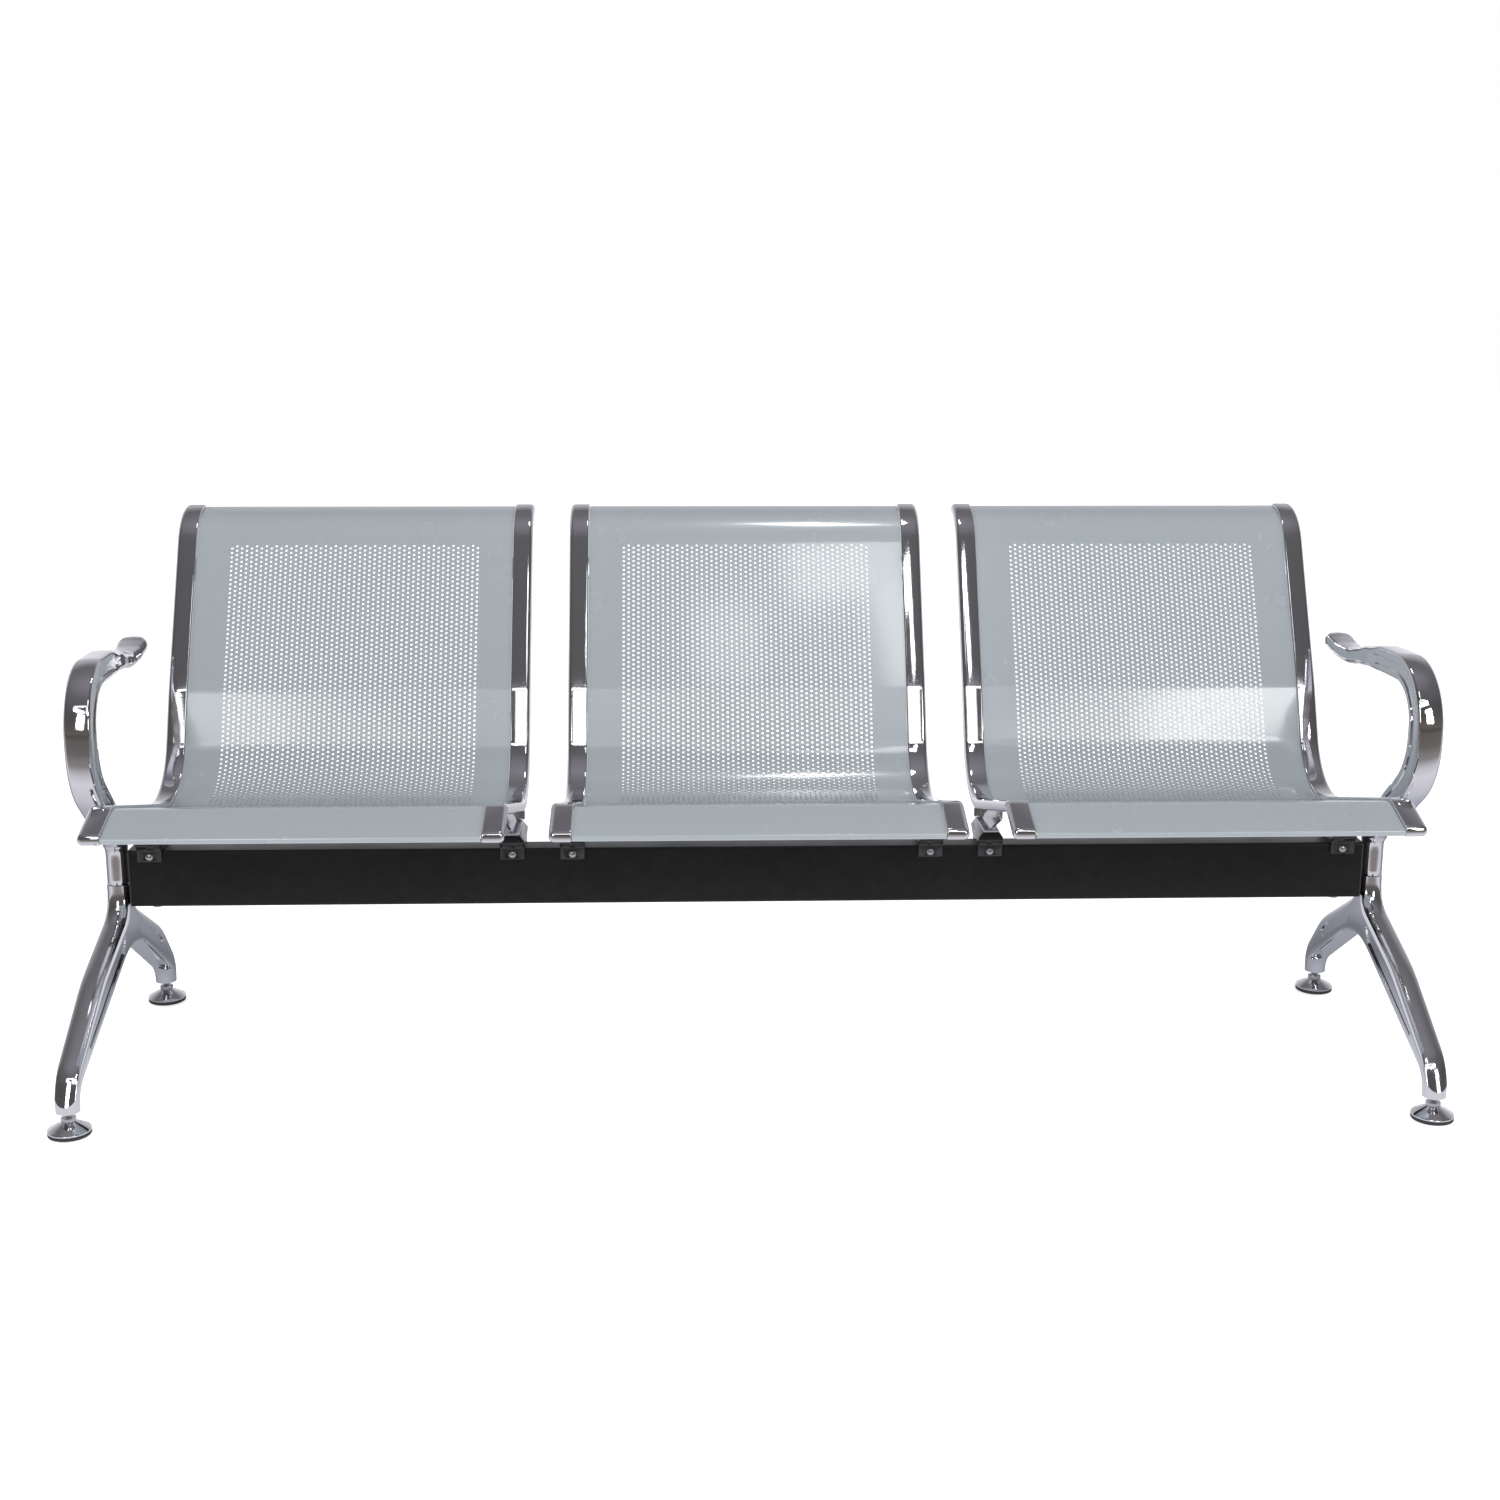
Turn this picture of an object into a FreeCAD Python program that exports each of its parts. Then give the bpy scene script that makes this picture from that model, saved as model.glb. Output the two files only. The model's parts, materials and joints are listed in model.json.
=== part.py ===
import FreeCAD, Part
import math
import os

# Three-place beam seating. Millimetres; X runs along the beam, Y from front to back, Z up from the floor.
# While modelling, y = 0 is the middle of the beam; the last step centres the bounding box on the origin.

# Layout
seat_count = 3
seat_pitch = 580.0
seat_width = 526.0
leg_offset = 36.0

# Seat profile: the top face of the sheet, seen from the side, as corners with rounding radii
sheet = 1.5
crest_y, crest_z, crest_radius = -230.0, 412.0, 28.0
band_length, band_angle = 70.0, 18.7
pan_length, pan_angle = 358.4, 13.8
lower_back_length, lower_back_angle = 168.3, 66.6
upper_back_length, upper_back_angle = 275.0, 62.6
roll_length, roll_angle = 56.0, 7.0
bend_radius, crease_radius, roll_radius = 110.0, 8.0, 82.0
rail_crease_radius = 90.0
hem_radius, hem_drop, hem_return, top_hem_drop, top_hem_lean = 2.6, 7.0, 14.0, 8.0, 1.0

# Side rails
rail_width, rail_proud, rail_depth = 29.0, 4.0, 16.0
rail_end_radius, rail_bevel = 7.4, 4.0
panel_side_gap = 0.5
tab_length, tab_width, tab_thickness = 34.0, 18.0, 3.0
tab_pan_front, tab_pan_back, tab_back_low, tab_back_high = 40.0, 250.0, 120.0, 190.0
weld_depth = 4.0

# Crossbeam and its end caps
beam_height, beam_depth, beam_wall, beam_corner = 80.0, 40.0, 2.0, 4.0
beam_bottom = 218.0
cap_flange, cap_plug, cap_wall = 4.0, 14.0, 3.0
cap_to_leg = 0.3
fit_gap, thread_gap = 0.3, 0.1
pierce = 1.0

# Bracket under each rail and the saddle that sits on the beam
saddle_width, saddle_crown, saddle_wall, saddle_skirt = 34.0, 22.0, 3.6, 15.0
saddle_front, saddle_back, saddle_rise = -32.0, 48.0, 22.0
web_thickness, flange_thickness, flange_width = 4.0, 3.0, 26.0
web_front, web_front_drop, web_rear_drop, web_nose, plate_thickness = -112.0, 27.0, 67.0, 36.0, 3.0
saddle_eave, saddle_flare, saddle_rear_flare, saddle_taper = 2.0, 10.0, 14.0, 8.0
web_foot_inset = 4.0
clamp_neck, clamp_head_radius, clamp_head_height, clamp_head_bevel = 6.0, 5.5, 3.5, 1.2
clamp_bolt_drop, clamp_bolt_length = 7.5, 14.0

# Leg casting
limb_width, stub_radius, foot_radius = 34.0, 16.0, 15.2
foot_front, foot_back, leg_bottom = -290.0, 210.0, 31.0
stub_top, shoulder_z, front_neck_z, back_neck_z = 247.0, 216.0, 202.0, 209.0
front_break_y, front_break_z, back_break_y, back_break_z = -150.0, 160.0, 150.0, 137.0
crotch_y, crotch_z, crotch_radius = 5.0, 176.0, 130.0
front_knee_z, back_knee_z, front_heel_z, back_heel_z = 70.0, 60.0, 62.0, 56.0
limb_bevel, foot_half, limb_bottom = 4.0, 15.0, 40.0
ankle_overlap, neck_overlap, spigot_overlap, tongue_overlap = 8.0, 20.0, 5.0, 4.0
recess_depth = 2.5
front_recess = [(-40.0, 186.0, 0), (-148.0, 148.0, 200.0), (-238.0, 97.0, 0), (-229.0, 90.5, 0),
                (-54.0, 161.5, 0)]
back_recess = [(22.0, 196.0, 0), (144.0, 127.0, 150.0), (188.0, 80.0, 0), (178.0, 76.0, 0), (26.0, 172.0, 0)]
tongue_length, tongue_height, tongue_half = 62.0, 22.0, 15.0
tongue_screw_radius, tongue_screw_head, tongue_screw_height, tongue_screw_bite = 4.0, 7.0, 4.4, 16.0
tongue_screw_relief = 2.0
spigot_radius, spigot_height = 9.0, 42.0

# Armrest: one closed C, from the post over the front to the flat pad
post_radius, post_top, strut_bottom = 15.0, 300.0, 280.0
arm_half, arm_bevel, pad_bevel = 17.0, 3.5, 3.0
arm_front, arm_hollow, arm_top, arm_under = -163.0, -125.0, 575.0, 541.0
strut_outer_z, strut_inner_z, elbow_outer_z, elbow_inner_z = 300.0, 322.0, 420.0, 434.0
pad_crown_y, pad_low_y, pad_low_z, pad_low_under, pad_end_y = -10.0, 105.0, 556.0, 537.0, 190.0
pad_end_z, pad_end_under = 567.0, 555.0
pad_neck_y, pad_neck_half, pad_end_radius, pad_end_thickness = 70.0, 15.0, 19.0, 12.0
pad_waist_z, past_everything = 531.0, 1000.0
groove_width, groove_depth = 12.0, 2.0
spigot_gap, spigot_socket = 0.15, 48.0

# Levelling feet
thread_radius, thread_clearance = 5.0, 0.07
pad_height, pad_radius, cup_radius, cup_rim, cup_height = 4.0, 26.5, 27.5, 3.0, 14.0
cup_neck, cup_shoulder, cup_slope = 9.0, 20.5, 4.0
stud_socket = 5.0
hex_flats, hex_height = 17.0, 6.0
retract_travel, thread_engaged, bore_relief = 6.0, 34.0, 2.0


def vec(x, y, z):
    return FreeCAD.Vector(x, y, z)


def step_along(point, length, angle):
    """Point reached from (y, z) after a run of this length at this rise in degrees."""
    rise = math.radians(angle)
    return point[0] + length * math.cos(rise), point[1] + length * math.sin(rise)


def unit(a, b):
    dy, dz = b[0] - a[0], b[1] - a[1]
    size = math.hypot(dy, dz)
    return dy / size, dz / size


def rounded_edges(corners, closed=False):
    """Lines and tangent arcs in the YZ plane through corners given as (y, z, radius)."""
    count = len(corners)
    joints = []
    for i, (y, z, radius) in enumerate(corners):
        is_end = not closed and i in (0, count - 1)
        if is_end or radius == 0:
            joints.append(((y, z), None, (y, z)))
            continue
        back = unit((y, z), corners[i - 1])
        ahead = unit((y, z), corners[(i + 1) % count])
        half = math.acos(max(-1, min(1, back[0] * ahead[0] + back[1] * ahead[1]))) / 2
        reach = radius / math.tan(half)
        middle = unit((0, 0), (back[0] + ahead[0], back[1] + ahead[1]))
        sag = radius / math.sin(half) - radius
        joints.append(((y + back[0] * reach, z + back[1] * reach),
                       (y + middle[0] * sag, z + middle[1] * sag),
                       (y + ahead[0] * reach, z + ahead[1] * reach)))
    edges = []
    for i, (start, mid, end) in enumerate(joints):
        if mid:
            edges.append(Part.Arc(vec(0, *start), vec(0, *mid), vec(0, *end)).toShape())
        if i + 1 < count or closed:
            nxt = joints[(i + 1) % count][0]
            if math.dist(end, nxt) > 1e-6:
                edges.append(Part.LineSegment(vec(0, *end), vec(0, *nxt)).toShape())
    return edges


def shifted(corners, distance):
    """The open corner list moved sideways; positive is to the left of travel."""
    moved = []
    last = len(corners) - 1
    for i, (y, z, radius) in enumerate(corners):
        before = unit(corners[max(i - 1, 0)], corners[max(i - 1, 0) + 1])
        after = unit(corners[min(i, last - 1)], corners[min(i, last - 1) + 1])
        turn = before[0] * after[1] - before[1] * after[0]
        cosine = before[0] * after[0] + before[1] * after[1]
        normal = (-(before[1] + after[1]), before[0] + after[0])
        scale = distance / (1 + cosine)
        new_radius = radius - distance * (1 if turn > 0 else -1) if radius else 0
        moved.append((y + normal[0] * scale, z + normal[1] * scale, new_radius))
    return moved


def prism(edges, x0, x1):
    """Closed YZ outline pushed from x0 to x1."""
    wire = Part.Wire(Part.__sortEdges__(edges))
    wire.translate(vec(x0, 0, 0))
    return Part.Face(wire).extrude(vec(x1 - x0, 0, 0))


def strip(corners, low, high, x0, x1):
    """Sheet of constant thickness that follows an open corner list."""
    upper, lower = shifted(corners, high), shifted(corners, low)
    edges = rounded_edges(upper) + rounded_edges(lower)
    for end in (0, -1):
        edges.append(Part.LineSegment(vec(0, *upper[end][:2]), vec(0, *lower[end][:2])).toShape())
    return prism(edges, x0, x1)


def box(x0, x1, y0, y1, z0, z1):
    return Part.makeBox(x1 - x0, y1 - y0, z1 - z0, vec(x0, y0, z0))


def rod(radius, start, end):
    axis = end.sub(start)
    return Part.makeCylinder(radius, axis.Length, start, axis)


def hexagon(flats, height, base, axis):
    """Hexagonal prism standing on base along axis."""
    ring = [vec(flats / math.sqrt(3) * math.cos(math.radians(60 * i)),
                flats / math.sqrt(3) * math.sin(math.radians(60 * i)), 0) for i in range(7)]
    solid = Part.Face(Part.makePolygon(ring)).extrude(vec(0, 0, height))
    solid.Placement = FreeCAD.Placement(base, FreeCAD.Rotation(vec(0, 0, 1), axis))
    return solid


def edges_at_x(solid, x):
    return [e for e in solid.Edges if abs(e.BoundBox.XMin - x) < 1e-4 and abs(e.BoundBox.XMax - x) < 1e-4]


def mirrored(shape):
    return shape.mirror(vec(0, 0, 0), vec(1, 0, 0))


# Corners of the seat profile, from the front crest to the end of the top roll
crest = (crest_y, crest_z)
lip = (crest_y - band_length * math.cos(math.radians(band_angle)),
       crest_z - band_length * math.sin(math.radians(band_angle)))
bend = step_along(crest, pan_length, -pan_angle)
crease = step_along(bend, lower_back_length, lower_back_angle)
roll = step_along(crease, upper_back_length, upper_back_angle)
top_end = step_along(roll, roll_length, roll_angle)
profile = [(*lip, 0), (*crest, crest_radius), (*bend, bend_radius), (*crease, crease_radius),
           (*roll, roll_radius), (*top_end, 0)]

leg_x = (seat_count - 1) / 2 * seat_pitch + seat_width / 2 + leg_offset
rail_outer = seat_width / 2
rail_inner = rail_outer - rail_width
rail_middle = rail_outer - rail_width / 2
beam_top = beam_bottom + beam_height
beam_end = leg_x - limb_width / 2 - cap_to_leg - cap_flange
saddle_top = beam_top + saddle_rise
bracket_foot = saddle_top + plate_thickness
clamp_z = beam_top - clamp_bolt_drop
skirt_y = beam_depth / 2 + fit_gap + saddle_wall
bore_depth = thread_engaged + retract_travel + bore_relief


def seat_panel():
    """One bent sheet: rolled lip, front band, pan, back with a crease, top roll with a turned edge."""
    sheet_path = [(lip[0] + hem_return, lip[1] - hem_drop, 0), (lip[0], lip[1] - hem_drop, hem_radius),
                  (*lip, hem_radius)] + profile[1:-1]
    sheet_path += [(*top_end, hem_radius), (top_end[0] + top_hem_lean, top_end[1] - top_hem_drop, 0)]
    half = rail_inner - panel_side_gap
    return strip(sheet_path, -sheet, 0, -half, half)


def tab(start, angle, distance):
    """Flat tab on the rail's inner face, just under the sheet, at a distance along one straight run."""
    middle = step_along(start, distance, angle)
    ends = [step_along(middle, side * tab_length / 2, angle) for side in (-1, 1)]
    path = [(*ends[0], 0), (*ends[1], 0)]
    return strip(path, -sheet - tab_thickness, -sheet, rail_inner - tab_width, rail_inner + weld_depth)


def side_rail():
    """Right-hand rail of a seat: a bar along the profile with bevelled outer edges and tabs for the sheet."""
    path = [(y, z, rail_crease_radius if (y, z) == crease else radius) for y, z, radius in profile]
    upper, lower = shifted(path, rail_proud), shifted(path, rail_proud - rail_depth)
    ring = [(y, z, radius or rail_end_radius) for y, z, radius in upper + lower[::-1]]
    bar = prism(rounded_edges(ring, closed=True), rail_inner, rail_outer)
    bar = bar.makeChamfer(rail_bevel, edges_at_x(bar, rail_outer)).Solids[0]
    return bar.fuse([tab(crest, -pan_angle, tab_pan_front), tab(crest, -pan_angle, tab_pan_back),
                     tab(bend, lower_back_angle, tab_back_low), tab(crease, upper_back_angle, tab_back_high)])


def crossbeam():
    """Rectangular tube with bolt holes for the saddles and the leg tongues."""
    half_y, half_wall = beam_depth / 2, beam_depth / 2 - beam_wall
    corners = [(-half_y, beam_bottom), (half_y, beam_bottom), (half_y, beam_top), (-half_y, beam_top)]
    tube = prism(rounded_edges([(y, z, beam_corner) for y, z in corners], True), -beam_end, beam_end)
    bore = box(-beam_end, beam_end, -half_wall, half_wall, beam_bottom + beam_wall, beam_top - beam_wall)
    holes = [square_hole(x, -half_y - pierce, -half_wall + pierce) for x in saddle_places()]
    for x in (-tongue_screw_x(), tongue_screw_x()):
        holes.append(rod(tongue_screw_radius + fit_gap, vec(x, 0, beam_bottom - pierce),
                         vec(x, 0, beam_bottom + beam_wall + pierce)))
    return tube.cut([bore] + holes)


def square_hole(x, y0, y1):
    """Cutter for the square neck of a clamp bolt."""
    half = clamp_neck / 2 + thread_gap
    return box(x - half, x + half, y0, y1, clamp_z - half, clamp_z + half)


def seat_middles():
    return [(i - (seat_count - 1) / 2) * seat_pitch for i in range(seat_count)]


def saddle_places():
    return [middle + side * rail_middle for middle in seat_middles() for side in (-1, 1)]


def tongue_screw_x():
    return beam_end - tongue_length / 2


def end_cap():
    """Right-hand end cap: a flange over the tube end, a short plug, and a window for the leg's tongue."""
    half_y = beam_depth / 2
    corners = [(-half_y, beam_bottom), (half_y, beam_bottom), (half_y, beam_top), (-half_y, beam_top)]
    flange = prism(rounded_edges([(y, z, beam_corner) for y, z in corners], True),
                   beam_end, beam_end + cap_flange)
    inset = beam_wall + fit_gap
    tongue_top = beam_bottom + beam_wall + fit_gap + tongue_height
    plug = box(beam_end - cap_plug, beam_end, -half_y + inset, half_y - inset,
               tongue_top + fit_gap, beam_top - inset)
    hollow_half, hollow_floor = half_y - inset - cap_wall, tongue_top + fit_gap + cap_wall
    plug = plug.cut(box(beam_end - cap_plug - pierce, beam_end, -hollow_half, hollow_half,
                        hollow_floor, beam_top - inset - cap_wall))
    window = box(beam_end - pierce, beam_end + cap_flange + pierce, -half_y + inset, half_y - inset,
                 beam_bottom + beam_wall, tongue_top + fit_gap)
    return flange.fuse(plug).cut(window)


def side_edges(solid, x, keep):
    """Edges lying in the plane at x whose middle passes the keep test on (y, z)."""
    chosen = []
    for edge in edges_at_x(solid, x):
        mid = edge.valueAt((edge.FirstParameter + edge.LastParameter) / 2)
        if keep(mid.y, mid.z):
            chosen.append(edge)
    return chosen


def bevelled_body(corners, half, bevel, keep):
    """Outline pushed across the width with the long edges of both side faces bevelled."""
    body = prism(rounded_edges(corners, True), -half, half)
    for x in (-half, half):
        body = body.makeChamfer(bevel, side_edges(body, x, keep))
    return body.Solids[0]


def leg_outline():
    """Side view of the casting: front limb, arch, rear limb, shoulder."""
    low, front, back = limb_bottom, foot_front, foot_back
    return [(-stub_radius, shoulder_z, 0), (-stub_radius, front_neck_z, 8.0),
            (front_break_y, front_break_z, 250.0), (front - foot_half, front_knee_z, 48.0),
            (front - foot_half, low, 0), (front + foot_half, low, 0), (front + foot_half, front_heel_z, 28.0),
            (crotch_y, crotch_z, crotch_radius), (back - foot_half, back_heel_z, 28.0),
            (back - foot_half, low, 0), (back + foot_half, low, 0), (back + foot_half, back_knee_z, 34.0),
            (back_break_y, back_break_z, 200.0), (stub_radius, back_neck_z, 8.0),
            (stub_radius, shoulder_z, 0)]


def leg():
    """Right-hand leg casting: two limbs from a round neck, round ankles, a spigot up and a tongue inwards."""
    half = limb_width / 2
    body = bevelled_body(leg_outline(), half, limb_bevel, lambda y, z: limb_bottom < z < shoulder_z)
    adds = [rod(stub_radius, vec(0, 0, shoulder_z - neck_overlap), vec(0, 0, stub_top)),
            rod(spigot_radius, vec(0, 0, stub_top - spigot_overlap), vec(0, 0, stub_top + spigot_height)),
            tongue()]
    for y in (foot_front, foot_back):
        adds.append(rod(foot_radius, vec(0, y, leg_bottom), vec(0, y, limb_bottom + ankle_overlap)))
    body = body.fuse(adds)
    cuts = []
    for outline in (front_recess, back_recess):
        for side in (-1, 1):
            cuts.append(prism(rounded_edges(outline, True), side * (half + pierce),
                              side * (half - recess_depth)))
    for y in (foot_front, foot_back):
        cuts.append(rod(thread_radius, vec(0, y, leg_bottom - pierce), vec(0, y, leg_bottom + bore_depth)))
    x = tongue_screw_x() - leg_x
    cuts.append(rod(tongue_screw_radius + thread_gap, vec(x, 0, beam_bottom),
                    vec(x, 0, beam_bottom + tongue_screw_bite + tongue_screw_relief)))
    return body.cut(cuts)


def tongue():
    base = beam_bottom + beam_wall + fit_gap
    return box(beam_end - tongue_length - leg_x, -tongue_overlap, -tongue_half, tongue_half,
               base, base + tongue_height)


def arm_corners(top_side):
    """Outer or inner line of the C, from the top of the post to the end of the pad."""
    if top_side:
        return [(-post_radius, strut_bottom, 0), (-post_radius, strut_outer_z, 30.0),
                (arm_front, elbow_outer_z, 110.0), (arm_front, arm_top, 95.0), (pad_crown_y, arm_top, 150.0),
                (pad_low_y, pad_low_z, 80.0), (pad_end_y, pad_end_z, 0)]
    return [(post_radius, strut_bottom, 0), (post_radius, strut_inner_z, 30.0),
            (arm_hollow, elbow_inner_z, 70.0), (arm_hollow, arm_under, 50.0),
            (pad_low_y, pad_low_under, 80.0), (pad_end_y, pad_end_under, 0)]


def armrest():
    """Right-hand armrest: round post with a socket, grooved C, pad with a round flattened end."""
    far = past_everything
    outer, inner = arm_corners(True), arm_corners(False)
    body = bevelled_body(outer + inner[::-1], arm_half, arm_bevel, lambda y, z: z > strut_bottom)
    post = rod(post_radius, vec(0, 0, stub_top), vec(0, 0, post_top))
    cuts = [rod(spigot_radius + spigot_gap, vec(0, 0, stub_top - pierce),
                vec(0, 0, stub_top + spigot_socket))]
    end_y = pad_end_y - pad_end_radius
    for side in (-1, 1):
        waist = [(side * arm_half, 0), (side * pad_neck_half, pad_neck_y), (side * pad_neck_half, far),
                 (side * far, far), (side * far, 0), (side * arm_half, 0)]
        cuts.append(Part.Face(Part.makePolygon([vec(x, y, pad_waist_z) for x, y in waist])).extrude(
            vec(0, 0, far)))
        cuts.append(groove(side))
    tilt = math.atan2(pad_end_z - pad_low_z, pad_end_y - pad_low_y)
    up = vec(0, -math.sin(tilt), math.cos(tilt))
    top = vec(0, end_y, pad_end_z - pad_end_radius * math.tan(tilt))
    paddle = rod(pad_end_radius, top - up * pad_end_thickness, top)
    paddle = paddle.makeChamfer(pad_bevel, [e for e in paddle.Edges if len(e.Vertexes) == 1])
    return body.fuse([post, paddle]).cut(cuts)


def groove(side):
    """Shallow groove along the side face of the C, from the strut over the front to the pad."""
    deep = (arm_half - groove_depth) * side
    path = []
    for high, low in zip(arm_corners(True)[1:6], [arm_corners(False)[k] for k in (1, 2, 3, 3, 4)]):
        path.append(((high[0] + low[0]) / 2, (high[1] + low[1]) / 2, (high[2] + low[2]) / 2))
    path[3] = (pad_crown_y, (arm_top + arm_under) / 2, 0)
    path = path[:4]
    path[0] = (*path[0][:2], 0)
    return strip(path, -groove_width / 2, groove_width / 2, deep, side * (arm_half + pierce))


def bracket():
    """Welded bracket under one rail: web, rear flange and foot plate, with the top fitted to the rail."""
    foot_z = bracket_foot
    web = [(saddle_front + web_foot_inset, foot_z), (saddle_back, foot_z),
           (saddle_back, crest_z - web_rear_drop),
           (web_front, crest_z - web_front_drop), (web_front, foot_z + web_nose)]
    side_view = prism(rounded_edges([(y, z, 0) for y, z in web], True), -web_thickness / 2, web_thickness / 2)
    flange = box(-flange_width / 2, flange_width / 2, saddle_back - flange_thickness, saddle_back,
                 foot_z, crest_z - web_rear_drop)
    plate = box(-saddle_crown / 2, saddle_crown / 2, saddle_front, saddle_back, saddle_top, foot_z)
    body = side_view.fuse([flange, plate])
    rail = side_rail().translated(vec(-rail_middle, 0, 0))
    return body.cut(rail)


def saddle():
    """Block that straddles the beam, tapered to its crown, with a square bolt hole in the front skirt."""
    inner, top = beam_depth / 2 + fit_gap, beam_top
    low, eave = top - saddle_skirt, top + saddle_eave
    outline = [(-skirt_y, low), (-skirt_y, eave), (saddle_front, top + saddle_flare),
               (saddle_front, saddle_top), (saddle_back, saddle_top), (saddle_back, top + saddle_rear_flare),
               (skirt_y, eave), (skirt_y, low), (inner, low), (inner, top), (-inner, top), (-inner, low)]
    half, crown, waist = saddle_width / 2, saddle_crown / 2, saddle_top - saddle_taper
    block = prism(rounded_edges([(y, z, 0) for y, z in outline], True), -half, half)
    front_view = [(-half, low), (half, low), (half, waist), (crown, saddle_top), (-crown, saddle_top),
                  (-half, waist), (-half, low)]
    envelope = Part.Face(Part.makePolygon([vec(x, saddle_front, z) for x, z in front_view]))
    block = block.common(envelope.extrude(vec(0, saddle_back - saddle_front, 0)))
    return block.cut(square_hole(0, -2 * inner, 0))


def clamp_bolt():
    """Coach bolt: a bevelled round head, and a square neck through the saddle's skirt and the beam's wall."""
    head = rod(clamp_head_radius, vec(0, -skirt_y, clamp_z), vec(0, -skirt_y - clamp_head_height, clamp_z))
    rim = [e for e in head.Edges if abs(e.CenterOfMass.y + skirt_y + clamp_head_height) < 1e-6]
    head = head.makeChamfer(clamp_head_bevel, rim)
    half = clamp_neck / 2
    return head.fuse(box(-half, half, -skirt_y - pierce, -skirt_y + clamp_bolt_length, clamp_z - half,
                         clamp_z + half))


def tongue_screws():
    """The screws that hold both leg tongues in the beam, from below."""
    screws = []
    for x in (-tongue_screw_x(), tongue_screw_x()):
        head = rod(tongue_screw_head, vec(x, 0, beam_bottom - tongue_screw_height), vec(x, 0, beam_bottom))
        shank = rod(tongue_screw_radius, vec(x, 0, beam_bottom - pierce),
                    vec(x, 0, beam_bottom + tongue_screw_bite))
        screws.append(head.fuse(shank))
    return screws


def foot_stud(y):
    """Threaded stud with its hexagon, turned by hand or spanner."""
    base = pad_height + cup_height
    return hexagon(hex_flats, hex_height, vec(0, y, base), vec(0, 0, 1)).fuse(
        rod(thread_radius - thread_clearance, vec(0, y, base - stud_socket),
            vec(0, y, leg_bottom + thread_engaged)))


def foot_cup(y):
    """Chromed dome over the pad, with a socket for the lower end of the stud."""
    top = pad_height + cup_height
    ring = [(0, pad_height), (cup_radius, pad_height), (cup_radius, pad_height + cup_rim),
            (cup_shoulder, top - cup_slope), (cup_neck, top), (0, top), (0, pad_height)]
    outline = Part.makePolygon([vec(r, 0, z) for r, z in ring])
    cup = Part.Face(outline).revolve(vec(0, 0, 0), vec(0, 0, 1), 360)
    socket = rod(thread_radius, vec(0, 0, top - stud_socket - thread_clearance), vec(0, 0, top + pierce))
    return cup.cut(socket).translated(vec(0, y, 0))


def foot_pad(y):
    """Rubber disc under the cup."""
    return rod(pad_radius, vec(0, y, 0), vec(0, y, pad_height))


def nodes():
    """Every node of the bench by name, still with y = 0 on the beam."""
    parts = {"crossbeam": [crossbeam()], "tongue_screws": tongue_screws()}
    ends = [("right", lambda shape: shape.translated(vec(leg_x, 0, 0))),
            ("left", lambda shape: mirrored(shape.translated(vec(leg_x, 0, 0))))]
    for side, put in ends:
        parts["leg_" + side] = [put(leg())]
        parts["armrest_" + side] = [put(armrest())]
        parts["beam_end_cap_" + side] = [put(end_cap().translated(vec(-leg_x, 0, 0)))]
        for place, y in (("front", foot_front), ("rear", foot_back)):
            for kind, make in (("stud", foot_stud), ("cup", foot_cup), ("pad", foot_pad)):
                parts[f"foot_{kind}_{place}_{side}"] = [put(make(y))]
    rails = {"right": side_rail(), "left": mirrored(side_rail())}
    parts["clamp_bolts"] = []
    for seat, middle in zip(("left", "centre", "right"), seat_middles()):
        parts["seat_panel_" + seat] = [seat_panel().translated(vec(middle, 0, 0))]
        for edge, sign in (("left", -1), ("right", 1)):
            x = vec(middle + sign * rail_middle, 0, 0)
            name = f"{seat}_{edge}"
            parts["side_rail_" + name] = [rails[edge].translated(vec(middle, 0, 0))]
            parts["bracket_" + name] = [(bracket() if sign > 0 else mirrored(bracket())).translated(x)]
            parts["saddle_" + name] = [saddle().translated(x)]
            parts["clamp_bolts"].append(clamp_bolt().translated(x))
    return parts


def centred(parts):
    """All solids moved so that the bounding box stands centred on the origin of the floor."""
    whole = Part.makeCompound([solid for group in parts.values() for solid in group]).BoundBox
    move = vec(0, -(whole.YMin + whole.YMax) / 2, 0)
    return {name: [solid.translated(move) for solid in group] for name, group in parts.items()}


if __name__ == "__main__":
    os.makedirs("parts", exist_ok=True)
    for name, group in centred(nodes()).items():
        shape = group[0] if len(group) == 1 else Part.makeCompound(group)
        shape.exportStep(f"parts/{name}.step")
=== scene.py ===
import json
import math

import bmesh
import bpy
from mathutils import Matrix, Vector


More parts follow.
